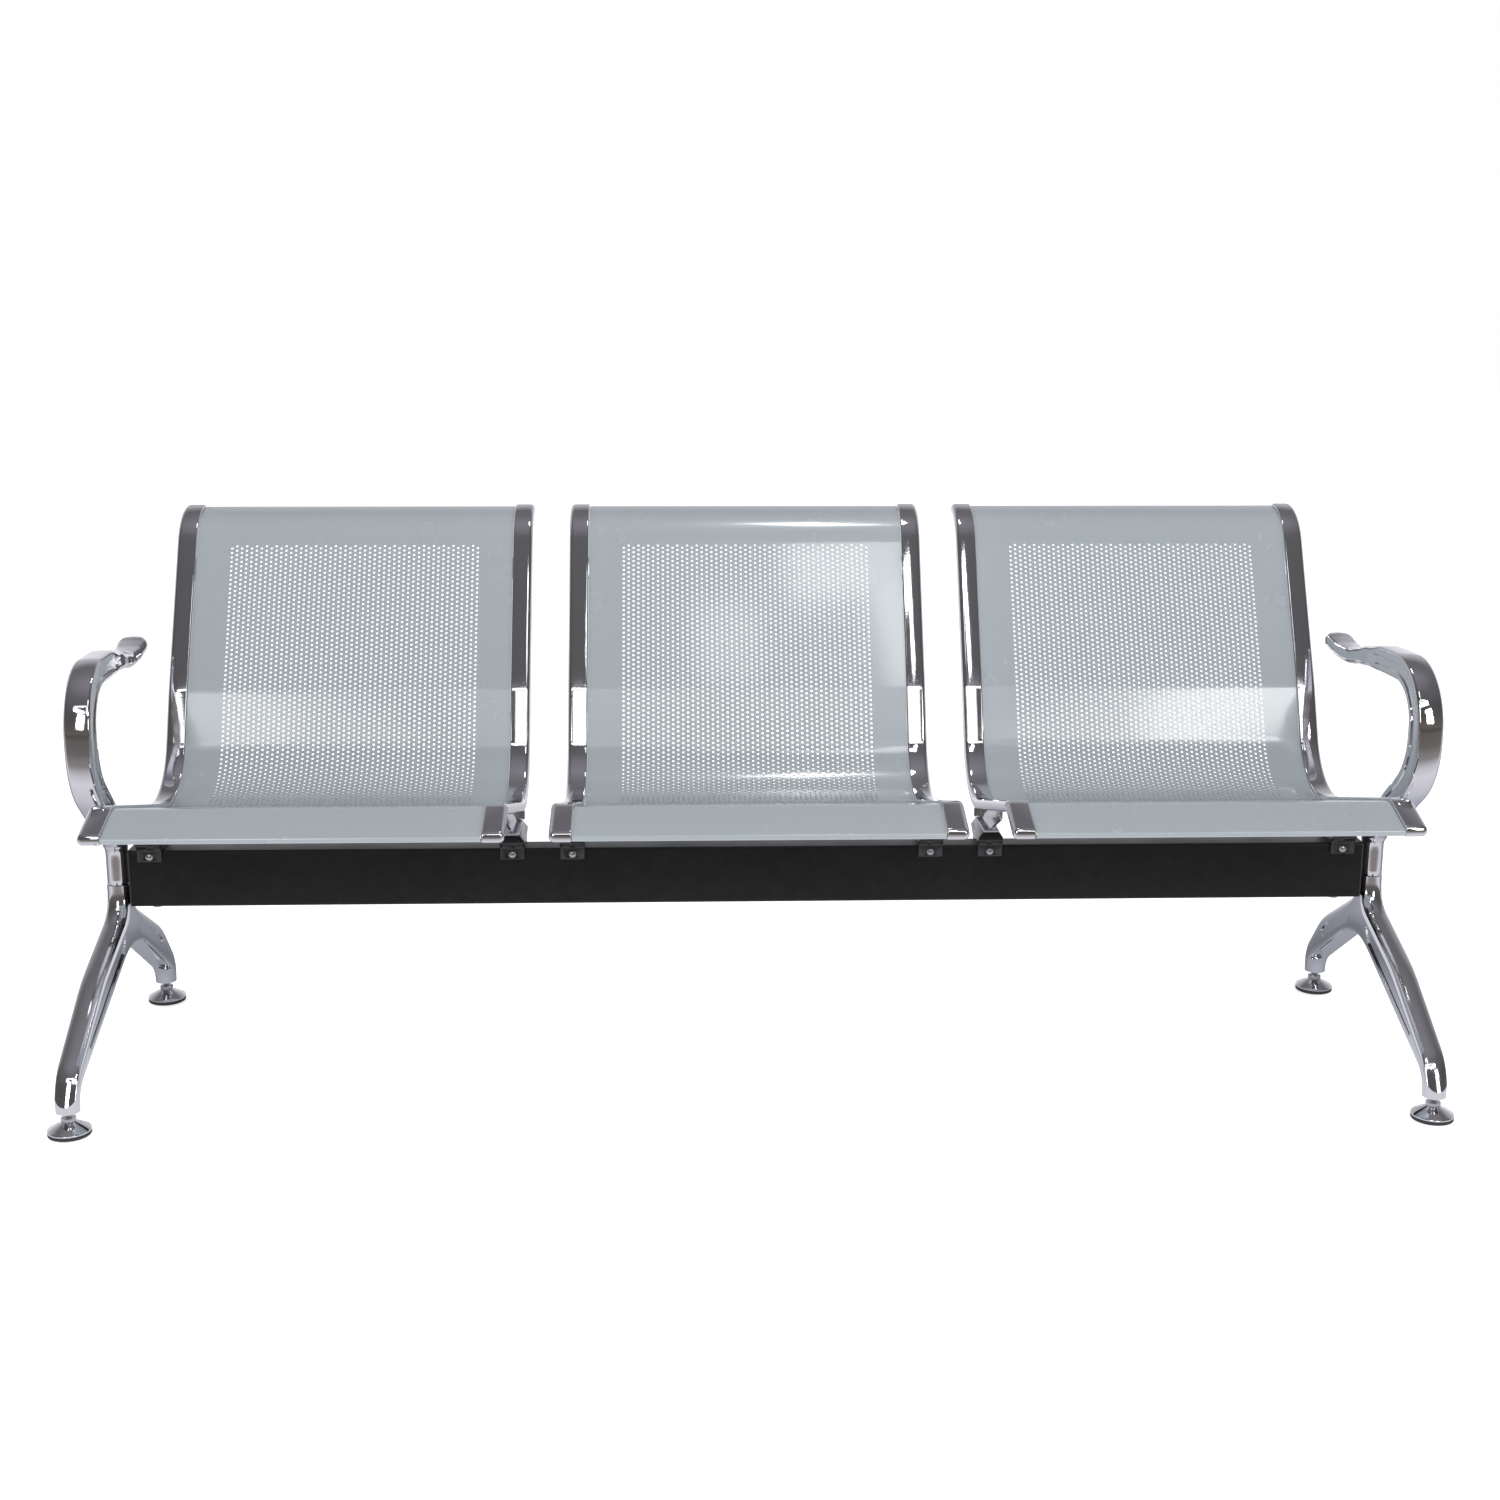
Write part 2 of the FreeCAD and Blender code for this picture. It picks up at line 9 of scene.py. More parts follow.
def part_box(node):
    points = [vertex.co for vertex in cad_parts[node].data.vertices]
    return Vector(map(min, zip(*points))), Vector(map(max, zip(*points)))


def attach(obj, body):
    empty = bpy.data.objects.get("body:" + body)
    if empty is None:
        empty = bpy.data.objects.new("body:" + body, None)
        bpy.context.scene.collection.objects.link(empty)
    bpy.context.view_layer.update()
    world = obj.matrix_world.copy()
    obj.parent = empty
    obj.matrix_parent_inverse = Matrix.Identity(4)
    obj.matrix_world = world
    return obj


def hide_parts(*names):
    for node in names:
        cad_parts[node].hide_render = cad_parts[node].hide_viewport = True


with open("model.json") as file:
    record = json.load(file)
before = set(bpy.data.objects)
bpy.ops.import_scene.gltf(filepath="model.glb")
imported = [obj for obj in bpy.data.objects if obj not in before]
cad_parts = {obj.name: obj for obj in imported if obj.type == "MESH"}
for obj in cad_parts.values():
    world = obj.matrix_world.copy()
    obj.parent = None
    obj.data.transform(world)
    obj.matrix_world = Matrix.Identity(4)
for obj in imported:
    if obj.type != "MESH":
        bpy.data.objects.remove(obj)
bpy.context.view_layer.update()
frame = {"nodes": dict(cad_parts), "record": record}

bl_info = {
    "name": "Beam Seating",
    "version": (1, 0, 0),
    "blender": (4, 5, 0),
    "location": "View3D > Sidebar > Seating",
    "description": "Builds the looks of a three-place waiting-room bench around its packed model",
    "category": "Object",
}

MM = 0.001
SEATS = ("left", "centre", "right")
SIDES = (("left", -1), ("right", 1))


def middle_of(node):
    low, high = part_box(node)
    return (low + high) / 2


BEAM_Y = middle_of("crossbeam").y
SEAT_X = {seat: middle_of("seat_panel_" + seat).x for seat in SEATS}
SHEET_HALF = (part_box("seat_panel_centre")[1].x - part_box("seat_panel_centre")[0].x) / 2


class SeatSizes(bpy.types.PropertyGroup):
    """Sizes of the seat shells and rails."""
    sheet: bpy.props.FloatProperty(
        name="Sheet", description="Thickness of the bent sheet", default=1.5 * MM, unit="LENGTH")
    hole_width: bpy.props.FloatProperty(
        name="Hole", description="Width of one hole in the sheet", default=3.95 * MM, unit="LENGTH")
    column_pitch: bpy.props.FloatProperty(
        name="Column pitch", description="Distance between columns of holes", default=7.26 * MM, unit="LENGTH")
    row_pitch: bpy.props.FloatProperty(
        name="Row pitch", description="Distance between holes of one column, along the sheet",
        default=7.0 * MM, unit="LENGTH")
    columns: bpy.props.IntProperty(name="Columns", description="Columns of holes in one seat", default=51)
    rail_width: bpy.props.FloatProperty(
        name="Rail width", description="Width of a side rail", default=29.0 * MM, unit="LENGTH")
    rail_round: bpy.props.FloatProperty(
        name="Rail rounding", description="Rounding of a rail's outer edges", default=7.2 * MM, unit="LENGTH")


class FinishColours(bpy.types.PropertyGroup):
    """Colours of the finishes, scene linear."""
    coat: bpy.props.FloatVectorProperty(
        name="Seat coat", description="Powder coat of the seats", default=(0.295, 0.330, 0.355), subtype="COLOR")
    black: bpy.props.FloatVectorProperty(
        name="Beam black", description="Coat of the beam and saddles", default=(0.0045, 0.0041, 0.0045),
        subtype="COLOR")
    plating: bpy.props.FloatVectorProperty(
        name="Plating", description="Reflection colour of the chromed parts", default=(0.80, 0.80, 0.83),
        subtype="COLOR")
    zinc: bpy.props.FloatVectorProperty(
        name="Zinc", description="Plated steel of bolts and studs", default=(0.55, 0.55, 0.56), subtype="COLOR")
    rubber: bpy.props.FloatVectorProperty(
        name="Rubber", description="Pads under the feet", default=(0.018, 0.018, 0.019), subtype="COLOR")


# Distances in metres at which points count as one
WELD, CLOSE_WELD = 1e-5, 1e-6

# Seat profile: the sheet's top face from the lip to the end of the top roll, in millimetres, y from mid beam
CREST = (-230.0, 412.0)

# Straight runs of the profile: (length, rise in degrees)
BAND, PAN, LOWER_BACK, UPPER_BACK, ROLL = (70.0, 18.7), (358.4, -13.8), (168.3, 66.6), (275.0, 62.6), (56.0, 7.0)
CREST_ROUND, BEND_ROUND, CREASE_ROUND, ROLL_ROUND = 28.0, 110.0, 5.0, 82.0
RAIL_CREASE_ROUND, HEM_ROUND, HEM_DROP, HEM_RETURN, TOP_HEM_LEAN = 90.0, 2.6, 7.0, 14.0, 1.0
RAIL_PROUD, RAIL_DEPTH, RAIL_END_ROUND = 4.0, 16.0, 7.4
SHEET_MM, RAIL_INNER_ROUND, RAIL_GAP, SHEET_ARC = 1.5, 2.2, 0.5, math.radians(9)

# Holes: where their field starts and ends, and the slope that parts a cell's corners from its sides
FIELD_FRONT_Y, FIELD_TOP_Z, FIELD_LOW_DROP, CORNER_SLOPE = -197.0, 681.0, 15.0, 0.4

# Tabs under the sheet and their screws, with the screw as (radius, height)
TAB_LONG, TAB_WIDE, TAB_THICK, TAB_ROUND, TAB_OVERLAP = 34.0, 18.0, 3.0, 1.0, 3.0
TAB_END_ROUND, TAB_ROOT_ROUND = 0.6, 0.3
PAN_HEAD = [(0.0, -0.5), (4.2, -0.5), (4.2, 0.6), (3.6, 1.7), (2.2, 2.4), (0.9, 2.6), (0.9, 1.2), (0.0, 1.2)]

# Beam and clamps; the end caps' flanges lose this share of their thickness, and EDGE is how far edges are eased
BEAM_DEEP, BEAM_ROUND = 40.0, 4.0
SKIRT_FACE, CLAMP_DROP, CAP_THINNER = 23.9, 7.5, 0.6
CAP_EDGE, SADDLE_EDGE, BRACKET_EDGE = 0.6, 1.6, 0.7
COACH_HEAD = [(0.0, -6.0), (3.0, -6.0), (3.0, 0.0), (5.4, 0.0), (5.5, 0.3), (5.15, 1.0), (4.55, 1.75), (3.8, 2.35),
              (2.9, 2.85), (1.9, 3.2), (0.9, 3.45), (0.0, 3.5)]

# Leg casting, seen from the side: corners (y, z, rounding, kind of the run that follows)
LEG_X = middle_of("foot_cup_front_right").x
FOOT_FRONT, FOOT_BACK = -290.0, 210.0
LEG_HALF, NECK_HALF, ANKLE_HALF, ANKLE_TOP, LEG_TAPER_TOP = 17.0, 16.0, 15.2, 41.0, 120.0
NECK_TAPER_LOW, NECK_TAPER_HIGH = 196.0, 214.0
LEG = [(-16.0, 246.6, 0, "neck"), (-16.0, 208.0, 40.0, "band"), (-150.0, 160.0, 230.0, "band"),
       (-286.0, 80.0, 70.0, "band"), (-305.2, 41.0, 1.2, "foot"), (-305.2, 31.0, 0, "end"),
       (-274.8, 31.0, 0, "foot"), (-274.8, 62.0, 28.0, "plain"), (5.0, 176.0, 130.0, "plain"),
       (194.8, 56.0, 28.0, "foot"), (194.8, 31.0, 0, "end"), (225.2, 31.0, 0, "foot"),
       (225.2, 44.0, 1.2, "band"), (212.0, 74.0, 50.0, "band"), (150.0, 137.0, 160.0, "band"),
       (16.0, 211.0, 38.0, "neck"), (16.0, 246.6, 0, "end")]

# Stations from the leg's middle outward, what each kind of run is set in there, and where a round section stops
LEG_X_MARKS = (0.0, 3.5, 7.0, 10.0, 12.5, 14.2, 15.0, 15.4, 15.8, 16.3, 16.7, 17.0)
BAND_INSET = (0.0, 0.15, 0.6, 1.2, 1.9, 2.6, 3.3, 4.8, 5.5, 6.4, 7.6, 9.0)
PLAIN_INSET = (0.0, 0.0, 0.0, 0.0, 0.1, 0.3, 0.5, 0.7, 0.9, 1.2, 1.6, 2.2)
ROUND_END = 0.995

# Recesses in the leg's sides: depth, how far the tool stands out, and its insets outside and at the floor
RECESS_DEEP, RECESS_PAST, RECESS_INSETS = 2.5, 2.0, (-1.0, 0.6)
RECESSES = ([(-40.0, 186.0, 3.0), (-148.0, 148.0, 200.0), (-238.0, 97.0, 3.0), (-229.0, 90.5, 3.0),
             (-54.0, 161.5, 5.0)],
            [(30.0, 184.0, 3.0), (112.0, 143.0, 150.0), (150.0, 114.0, 3.0), (140.0, 108.0, 3.0), (34.0, 168.0, 5.0)])

# Armrest line: corners (y, z, rounding, half width, half thickness, corner rounding, groove depth)
ARM = [(0.0, 246.4, 0, 9.0, 9.0, 9.0, 0.0), (0.0, 247.2, 0, 9.0, 9.0, 9.0, 0.0),
       (0.0, 247.4, 0, 14.2, 14.2, 15.0, 0.0), (0.0, 248.6, 0, 15.0, 15.0, 15.0, 0.0),
       (0.0, 290.0, 0, 15.0, 15.0, 15.0, 0.0), (0.0, 311.0, 32.0, 16.5, 17.4, 12.0, 0.0),
       (-60.0, 359.33, 0, 17.6, 18.2, 6.0, 1.8), (-144.0, 427.0, 92.0, 18.0, 19.0, 5.5, 2.0),
       (-144.0, 558.0, 73.0, 18.0, 17.4, 5.5, 2.0), (-10.0, 558.0, 150.0, 17.4, 16.6, 6.0, 1.8),
       (40.0, 553.0, 0, 16.4, 13.4, 7.0, 0.0), (75.0, 547.5, 0, 16.0, 11.4, 8.0, 0.0),
       (105.0, 541.0, 80.0, 17.2, 10.2, 8.0, 0.0), (145.0, 545.2, 60.0, 20.2, 9.0, 8.0, 0.0),
       (170.0, 551.2, 60.0, 21.4, 8.4, 7.8, 0.0), (190.0, 557.4, 0, 21.4, 8.4, 7.8, 0.0)]
PADDLE_HALF, GROOVE_HALF, ARM_CROWN = 21.4, 6.0, 1.6
ARM_TURNS = {"left": math.radians(2.2), "right": math.radians(3.2)}
ARM_ARC, ARM_RUN, ARM_CORNER_CUTS = math.radians(4), 7.0, 7
PAD_CUTS, PAD_REACH, PAD_LEAST = 14, 0.998, 1.2

# Levelling feet: profiles as (radius, height)
CUP = [(0.0, 5.1), (27.1, 5.1), (27.5, 5.5), (27.5, 6.9), (27.0, 7.6), (25.0, 8.7), (21.5, 10.9), (17.0, 13.3),
       (13.0, 15.3), (10.2, 16.8), (9.0, 17.8), (8.4, 18.0), (0.0, 18.0)]
PAD = [(0.0, 0.0), (25.6, 0.0), (26.8, 0.6), (27.3, 1.5), (27.3, 4.3), (27.0, 5.0), (0.0, 5.0)]

# Studs end low enough to stay inside the leaning limbs when the feet are wound in
STUD_LOW, STUD_HIGH, THREAD_HALF, THREAD_PITCH = 15.0, 50.0, 4.93, 1.5
THREAD_ROOT, THREAD_VALLEY, THREAD_LEAD = THREAD_HALF - 0.6, THREAD_HALF - 0.55, 1.0
HEX_FLATS, HEX_TALL, HEX_LOW, HEX_BEVEL = 17.0, 6.0, 18.1, 0.7


def onward(point, run):
    rise = math.radians(run[1])
    return (point[0] + run[0] * math.cos(rise), point[1] + run[0] * math.sin(rise))


LIP = (CREST[0] - BAND[0] * math.cos(math.radians(BAND[1])), CREST[1] - BAND[0] * math.sin(math.radians(BAND[1])))
BEND = onward(CREST, PAN)
CREASE = onward(BEND, LOWER_BACK)
ROLL_CORNER = onward(CREASE, UPPER_BACK)
TOP_END = onward(ROLL_CORNER, ROLL)
TABS = ((CREST, PAN[1], 40.0), (CREST, PAN[1], 250.0), (BEND, LOWER_BACK[1], 120.0), (CREASE, UPPER_BACK[1], 190.0))


class Path:
    """Line through corners (y, z, rounding) in millimetres, with arcs at the corners."""

    def __init__(self, corners, closed=False):
        self.parts, self.length, self.middles = [], 0.0, []
        count = len(corners)
        joints = []
        for i, (y, z, radius) in enumerate(corners):
            here = Vector((y, z))
            if radius == 0 or (not closed and i in (0, count - 1)):
                joints.append((here, here, None, 0))
                continue
            back = (Vector(corners[i - 1][:2]) - here).normalized()
            ahead = (Vector(corners[(i + 1) % count][:2]) - here).normalized()
            half = back.angle(ahead) / 2
            reach = radius / math.tan(half)
            centre = here + (back + ahead).normalized() * (radius / math.sin(half))
            joints.append((here + back * reach, here + ahead * reach, centre, radius))
        for i, (start, end, centre, radius) in enumerate(joints):
            begun = self.length
            if centre is not None:
                a, b = start - centre, end - centre
                turn = math.atan2(a.x * b.y - a.y * b.x, a.dot(b))
                self.add(abs(turn) * radius, start, centre, turn)
            self.middles.append((begun + self.length) / 2)
            if closed or i + 1 < count:
                following = joints[(i + 1) % count][0]
                if (following - end).length > CLOSE_WELD:
                    self.add((following - end).length, end, None, following - end)

    def add(self, size, start, centre, move):
        self.parts.append((size, start, centre, move))
        self.length += size

    def at(self, distance):
        """Point at a distance from the start."""
        for size, start, centre, move in self.parts[:-1]:
            if distance <= size:
                break
            distance -= size
        else:
            size, start, centre, move = self.parts[-1]
        share = distance / size
        if centre is None:
            return start + move * share
        return centre + Matrix.Rotation(move * share, 2) @ (start - centre)

    def side(self, distance, reach=0.05):
        """Unit vector to the left of travel."""
        along = self.at(min(distance + reach, self.length)) - self.at(max(distance - reach, 0.0))
        return Vector((-along.y, along.x)).normalized()

    def stops(self, arc_step, run_step=math.inf):
        """Distances that draw the path: runs cut by length, and arcs at equal angles in radians."""
        marks, done = [0.0], 0.0
        for size, _, centre, move in self.parts:
            cuts = size / run_step if centre is None else abs(move) / arc_step
            cuts = max(1, math.ceil(cuts - 1e-3))
            marks += [done + size * k / cuts for k in range(1, cuts + 1)]
            done += size
        return marks

    def where(self, test, step=0.5):
        """First distance whose point passes the test."""
        return next(k * step for k in range(int(self.length / step)) if test(self.at(k * step)))


def place(point, x):
    """Metres in the row frame for a profile point in millimetres."""
    return Vector((x, BEAM_Y + point.x * MM, point.y * MM))


def shifted(corners, distance):
    """The open corner list moved sideways; positive is to the left of travel."""
    moved, last = [], len(corners) - 1
    for i, (y, z, radius) in enumerate(corners):
        a, b = (Vector(corners[k][:2]) for k in (max(i - 1, 0), max(i - 1, 0) + 1))
        c, d = (Vector(corners[k][:2]) for k in (min(i, last - 1), min(i, last - 1) + 1))
        before, after = (b - a).normalized(), (d - c).normalized()
        turn = before.x * after.y - before.y * after.x
        normal = Vector((-(before.y + after.y), before.x + after.x))
        scale = distance / (1 + before.dot(after))
        new_radius = radius - distance * (1 if turn > 0 else -1) if radius else 0
        moved.append((y + normal.x * scale, z + normal.y * scale, new_radius))
    return moved


def inset(corners, insets):
    """The closed corner list with each run moved into the outline by its own distance."""
    count = len(corners)
    spin = sum(corners[i - 1][0] * corners[i][1] - corners[i][0] * corners[i - 1][1] for i in range(count))
    inward = 1 if spin > 0 else -1
    moved = []
    for i, (y, z, radius) in enumerate(corners):
        before = (Vector((y, z)) - Vector(corners[i - 1][:2])).normalized()
        after = (Vector(corners[(i + 1) % count][:2]) - Vector((y, z))).normalized()
        turn = (before.x * after.y - before.y * after.x) * inward
        sides = Matrix(((-before.y, before.x), (-after.y, after.x))) * inward
        depth = Vector((insets[i - 1], insets[i]))
        shift = sides.inverted() @ depth
        eased = radius - (depth.x + depth.y) / 2 * (1 if turn > 0 else -1)
        moved.append((y + shift.x, z + shift.y, max(eased, 0.3) if radius else 0))
    return moved


# Blender helpers


def deselect():
    if bpy.context.object and bpy.context.object.mode != "OBJECT":
        leave_edit()
    bpy.ops.object.select_all(action="DESELECT")


def pick(piece):
    """Select the piece alone and make it active."""
    deselect()
    piece.select_set(True)
    bpy.context.view_layer.objects.active = piece


def active(name):
    """The active object, with a new name for it and its mesh."""
    piece = bpy.context.view_layer.objects.active
    piece.name = name
    piece.data.name = name
    return piece


def edit_mesh():
    bpy.ops.object.mode_set(mode="EDIT")
    return bmesh.from_edit_mesh(bpy.context.object.data)


def leave_edit():
    bpy.ops.object.mode_set(mode="OBJECT")


def select_all():
    bpy.ops.mesh.select_all(action="SELECT")


def weld(distance=CLOSE_WELD):
    """In edit mode, select everything and join points that coincide."""
    select_all()
    bpy.ops.mesh.remove_doubles(threshold=distance)


def face_outward():
    """In edit mode, turn all normals outward and leave the mode."""
    select_all()
    bpy.ops.mesh.normals_make_consistent(inside=False)
    leave_edit()


def select_where(test, kind="VERT"):
    """In edit mode, select just the vertices or edges that pass a test."""
    bpy.ops.mesh.select_mode(type=kind)
    bpy.ops.mesh.select_all(action="DESELECT")
    mesh = bmesh.from_edit_mesh(bpy.context.object.data)
    for item in mesh.verts if kind == "VERT" else mesh.edges:
        if test(item):
            item.select_set(True)
    mesh.select_flush_mode()
    bmesh.update_edit_mesh(bpy.context.object.data)


def modify(piece, kind, **values):
    """Add a modifier, set it and apply it."""
    bpy.context.view_layer.objects.active = piece
    modifier = piece.modifiers.new(kind.lower(), kind)
    for key, value in values.items():
        setattr(modifier, key, value)
    bpy.ops.object.modifier_apply(modifier=modifier.name)


def smooth(piece, degrees):
    pick(piece)
    bpy.ops.object.shade_smooth_by_angle(angle=math.radians(degrees))


def settle(piece):
    """Put the piece's place into its mesh and its object at the origin."""
    pick(piece)
    bpy.ops.object.transform_apply(location=True, rotation=True, scale=True)


def copied(piece, name, x_move, flip=False, turn=0.0):
    """Copy with its own mesh: mirrored in the YZ plane, turned about the beam's upright line and moved along X."""
    pick(piece)
    bpy.ops.object.duplicate(linked=False)
    twin = active(name)
    if flip:
        twin.scale.x = -1
    twin.rotation_euler.z = turn
    twin.location = (x_move + BEAM_Y * math.sin(turn), BEAM_Y * (1 - math.cos(turn)), 0.0)
    settle(twin)
    if flip:
        edit_mesh()
        face_outward()
    return twin


def dress(piece, material):
    piece.data.materials.clear()
    piece.data.materials.append(material)
    for face in piece.data.polygons:
        face.material_index = 0


def stands_for(piece, slot, *nodes, body="bench"):
    """The piece takes the slot's finish, rides with a body and replaces these nodes."""
    dress(piece, bpy.data.materials["finish_" + slot])
    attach(piece, body)
    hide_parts(*nodes)


def lofted(name, rings, degrees=35.0):
    """Skin over rings of points, closed round each ring and capped at both ends."""
    around, last = len(rings[0]), len(rings) - 1
    deselect()
    bpy.ops.mesh.primitive_grid_add(x_subdivisions=around, y_subdivisions=last, size=1.0, location=(0, 0, 0))
    piece = active(name)
    mesh = edit_mesh()
    for vertex in mesh.verts:
        i, j = round((vertex.co.x + 0.5) * around) % around, round((vertex.co.y + 0.5) * last)
        vertex.co = rings[j][i]
    bmesh.update_edit_mesh(piece.data)
    weld()
    for ring in (rings[0], rings[last]):
        places = {tuple(round(c, 6) for c in point) for point in ring}
        select_where(lambda e: len(e.link_faces) == 1
                     and all(tuple(round(c, 6) for c in v.co) in places for v in e.verts), "EDGE")
        bpy.ops.mesh.edge_face_add()
    face_outward()
    smooth(piece, degrees)
    return piece


def side_loft(name, corners, stations, arc_step=6.0):
    """Skin across X over side outlines; each station is (x in metres, inset of each run in millimetres)."""
    rings = []
    for x, insets in stations:
        ring = Path(inset(corners, insets), closed=True)
        rings.append([place(ring.at(mark), x) for mark in ring.stops(math.radians(arc_step))[:-1]])
    return lofted(name, rings)


def even_stations(x0, x1, count, round0, round1, steps=6):
    """Stations from x0 to x1 for an outline of that many runs, with a quarter round at each side, in metres."""
    turns = [math.pi / 2 * k / steps for k in range(steps + 1)]
    return ([(x0 + round0 * (1 - math.cos(a)), [round0 / MM * (1 - math.sin(a))] * count) for a in turns]
            + [(x1 - round1 * (1 - math.sin(a)), [round1 / MM * (1 - math.cos(a))] * count) for a in turns])


def carved(piece, tool):
    """Cut the tool out of the piece and remove it."""
    modify(piece, "BOOLEAN", operation="DIFFERENCE", object=tool, solver="EXACT")
    bpy.data.objects.remove(tool)


def joined(name, pieces):
    """One piece out of several that only touch."""
    deselect()
    for piece in pieces:
        piece.select_set(True)
    bpy.context.view_layer.objects.active = pieces[0]
    bpy.ops.object.join()
    return active(name)


def turned(name, ring, place_at, steps, tilt=(0.0, 0.0, 0.0)):
    """Round piece: a profile of (radius, height) in millimetres from axis to axis, spun and put in place."""
    deselect()
    bpy.ops.mesh.primitive_circle_add(vertices=len(ring), radius=0.01, fill_type="NOTHING", location=(0, 0, 0))
    piece = active(name)
    mesh = edit_mesh()
    mesh.verts.ensure_lookup_table()
    for vertex, (radius, height) in zip(mesh.verts, ring):
        vertex.co = (radius * MM, 0.0, height * MM)
    bmesh.update_edit_mesh(piece.data)
    select_where(lambda e: all(abs(v.co.x) < CLOSE_WELD / 10 for v in e.verts), "EDGE")
    bpy.ops.mesh.delete(type="EDGE")
    select_all()
    bpy.ops.mesh.spin(steps=steps, angle=math.tau, center=(0, 0, 0), axis=(0, 0, 1))
    weld()
    face_outward()
    piece.rotation_euler = tilt
    piece.location = place_at
    settle(piece)
    smooth(piece, degrees=35.0)
    return piece


def softened(node, name, edge, segments=2):
    """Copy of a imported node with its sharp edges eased."""
    source = frame["nodes"][node]
    pick(source)
    bpy.ops.object.duplicate(linked=False)
    piece = active(name)
    edit_mesh()
    weld(WELD)
    bpy.ops.mesh.dissolve_limited(angle_limit=math.radians(1.0))
    leave_edit()
    modify(piece, "BEVEL", width=edge * MM, segments=segments, limit_method="ANGLE",
           angle_limit=math.radians(40), use_clamp_overlap=True)
    smooth(piece, degrees=40.0)
    return piece


# Finishes


def feed(tree, node, inputs):
    """Give each input of a node a value or another node's output."""
    for label, value in inputs.items():
        if isinstance(value, bpy.types.NodeSocket):
            tree.links.new(value, node.inputs[label])
        else:
            node.inputs[label].default_value = value


def wired(tree, kind, inputs=None, **settings):
    """New shader node with its settings and inputs."""
    node = tree.nodes.new("ShaderNode" + kind)
    for key, value in settings.items():
        setattr(node, key, value)
    feed(tree, node, inputs or {})
    return node


def mixed(tree, factor, first, second):
    """Colour between two others."""
    return wired(tree, "Mix", {"Factor": factor, "A": first, "B": second}, data_type="RGBA").outputs["Result"]


def noise(tree, scale, detail=2.0):
    """Noise from 0 to 1 at the object's own coordinates."""
    where = wired(tree, "TexCoord").outputs["Object"]
    return wired(tree, "TexNoise", {"Vector": where, "Scale": scale, "Detail": detail}).outputs["Fac"]


def new_group(name, inputs, outputs):
    """Node group with (label, default) inputs and labelled outputs; a tuple or the label Color makes a colour."""
    tree = bpy.data.node_groups.new(name, "ShaderNodeTree")
    for label, default in inputs:
        kind = "NodeSocketColor" if isinstance(default, tuple) else "NodeSocketFloat"
        tree.interface.new_socket(label, in_out="INPUT", socket_type=kind).default_value = default
    for label in outputs:
        kind = "NodeSocketColor" if label == "Color" else "NodeSocketFloat"
        tree.interface.new_socket(label, in_out="OUTPUT", socket_type=kind)
    return tree, tree.nodes.new("NodeGroupInput").outputs, tree.nodes.new("NodeGroupOutput")


def grain_group():
    """Fine grain and slow waves on a surface: a colour, a roughness and a height."""
    tree, given, sink = new_group(
        "surface_grain",
        [("Color", (0.5, 0.5, 0.5, 1)), ("Dark", (0.4, 0.4, 0.4, 1)), ("Grain scale", 900.0), ("Wave scale", 6.0),
         ("Wave height", 0.5), ("Rough low", 0.2), ("Rough high", 0.3)], ["Color", "Roughness", "Height"])
    grain, wave = noise(tree, given["Grain scale"]), noise(tree, given["Wave scale"], detail=1.0)
    mottle = noise(tree, scale=14.0, detail=5.0)
    rough = wired(tree, "MapRange", {"Value": mottle, "From Min": 0.3, "From Max": 0.7,
                                     "To Min": given["Rough low"], "To Max": given["Rough high"]})
    lift = wired(tree, "Math", {0: wave, 1: given["Wave height"], 2: grain}, operation="MULTIPLY_ADD")
    feed(tree, sink, {"Color": mixed(tree, mottle, given["Color"], given["Dark"]),
                      "Roughness": rough.outputs["Result"], "Height": lift.outputs["Value"]})


def wear_and_sheen_group():
    """Mask of convex edges, broken up by noise: worn edges on most finishes, a painted edge highlight on the seat
    coat.
    """
    tree, given, sink = new_group("edge_wear_and_sheen", [("Amount", 0.5), ("Patch scale", 60.0)], ["Mask"])
    edge = wired(tree, "MapRange", {"Value": wired(tree, "NewGeometry").outputs["Pointiness"],
                                    "From Min": 0.53, "From Max": 0.62}).outputs["Result"]
    for share in (noise(tree, given["Patch scale"]), given["Amount"]):
        edge = wired(tree, "Math", {0: edge, 1: share}, operation="MULTIPLY").outputs["Value"]
    feed(tree, sink, {"Mask": edge})


def finish(name, colour, dark, worn_and_sheen, metallic, rough, grain, bump, wear, coat=0.0, coat_rough=0.1, shine=0.5):
    """Material with grain, mottled colour and roughness, an edge colour on convex edges (edge wear, and on the seat
    coat a painted highlight) and bump.

    rough is (low, high), grain (grain scale, wave scale, wave height) and bump (strength, distance in metres).
    """
    material = bpy.data.materials.new("finish_" + name)
    material.use_nodes = True
    tree, groups = material.node_tree, bpy.data.node_groups
    surface = wired(tree, "Group", {
        "Color": (*colour, 1), "Dark": (*dark, 1), "Grain scale": grain[0], "Wave scale": grain[1],
        "Wave height": grain[2], "Rough low": rough[0], "Rough high": rough[1]},
        node_tree=groups["surface_grain"]).outputs
    wear_and_sheen_mask = wired(tree, "Group", {"Amount": wear}, node_tree=groups["edge_wear_and_sheen"]).outputs["Mask"]
    lift = wired(tree, "Bump", {"Strength": bump[0], "Distance": bump[1], "Height": surface["Height"]})
    # Convex edges take the edge colour: worn edges, and on the seat coat a painted highlight
    feed(tree, tree.nodes["Principled BSDF"], {
        "Base Color": mixed(tree, wear_and_sheen_mask, surface["Color"], (*worn_and_sheen, 1)), "Roughness": surface["Roughness"],
        "Normal": lift.outputs["Normal"], "Metallic": metallic, "Specular IOR Level": shine,
        "Coat Weight": coat, "Coat Roughness": coat_rough})


def darker(colour, share):
    return tuple(c * share for c in colour)


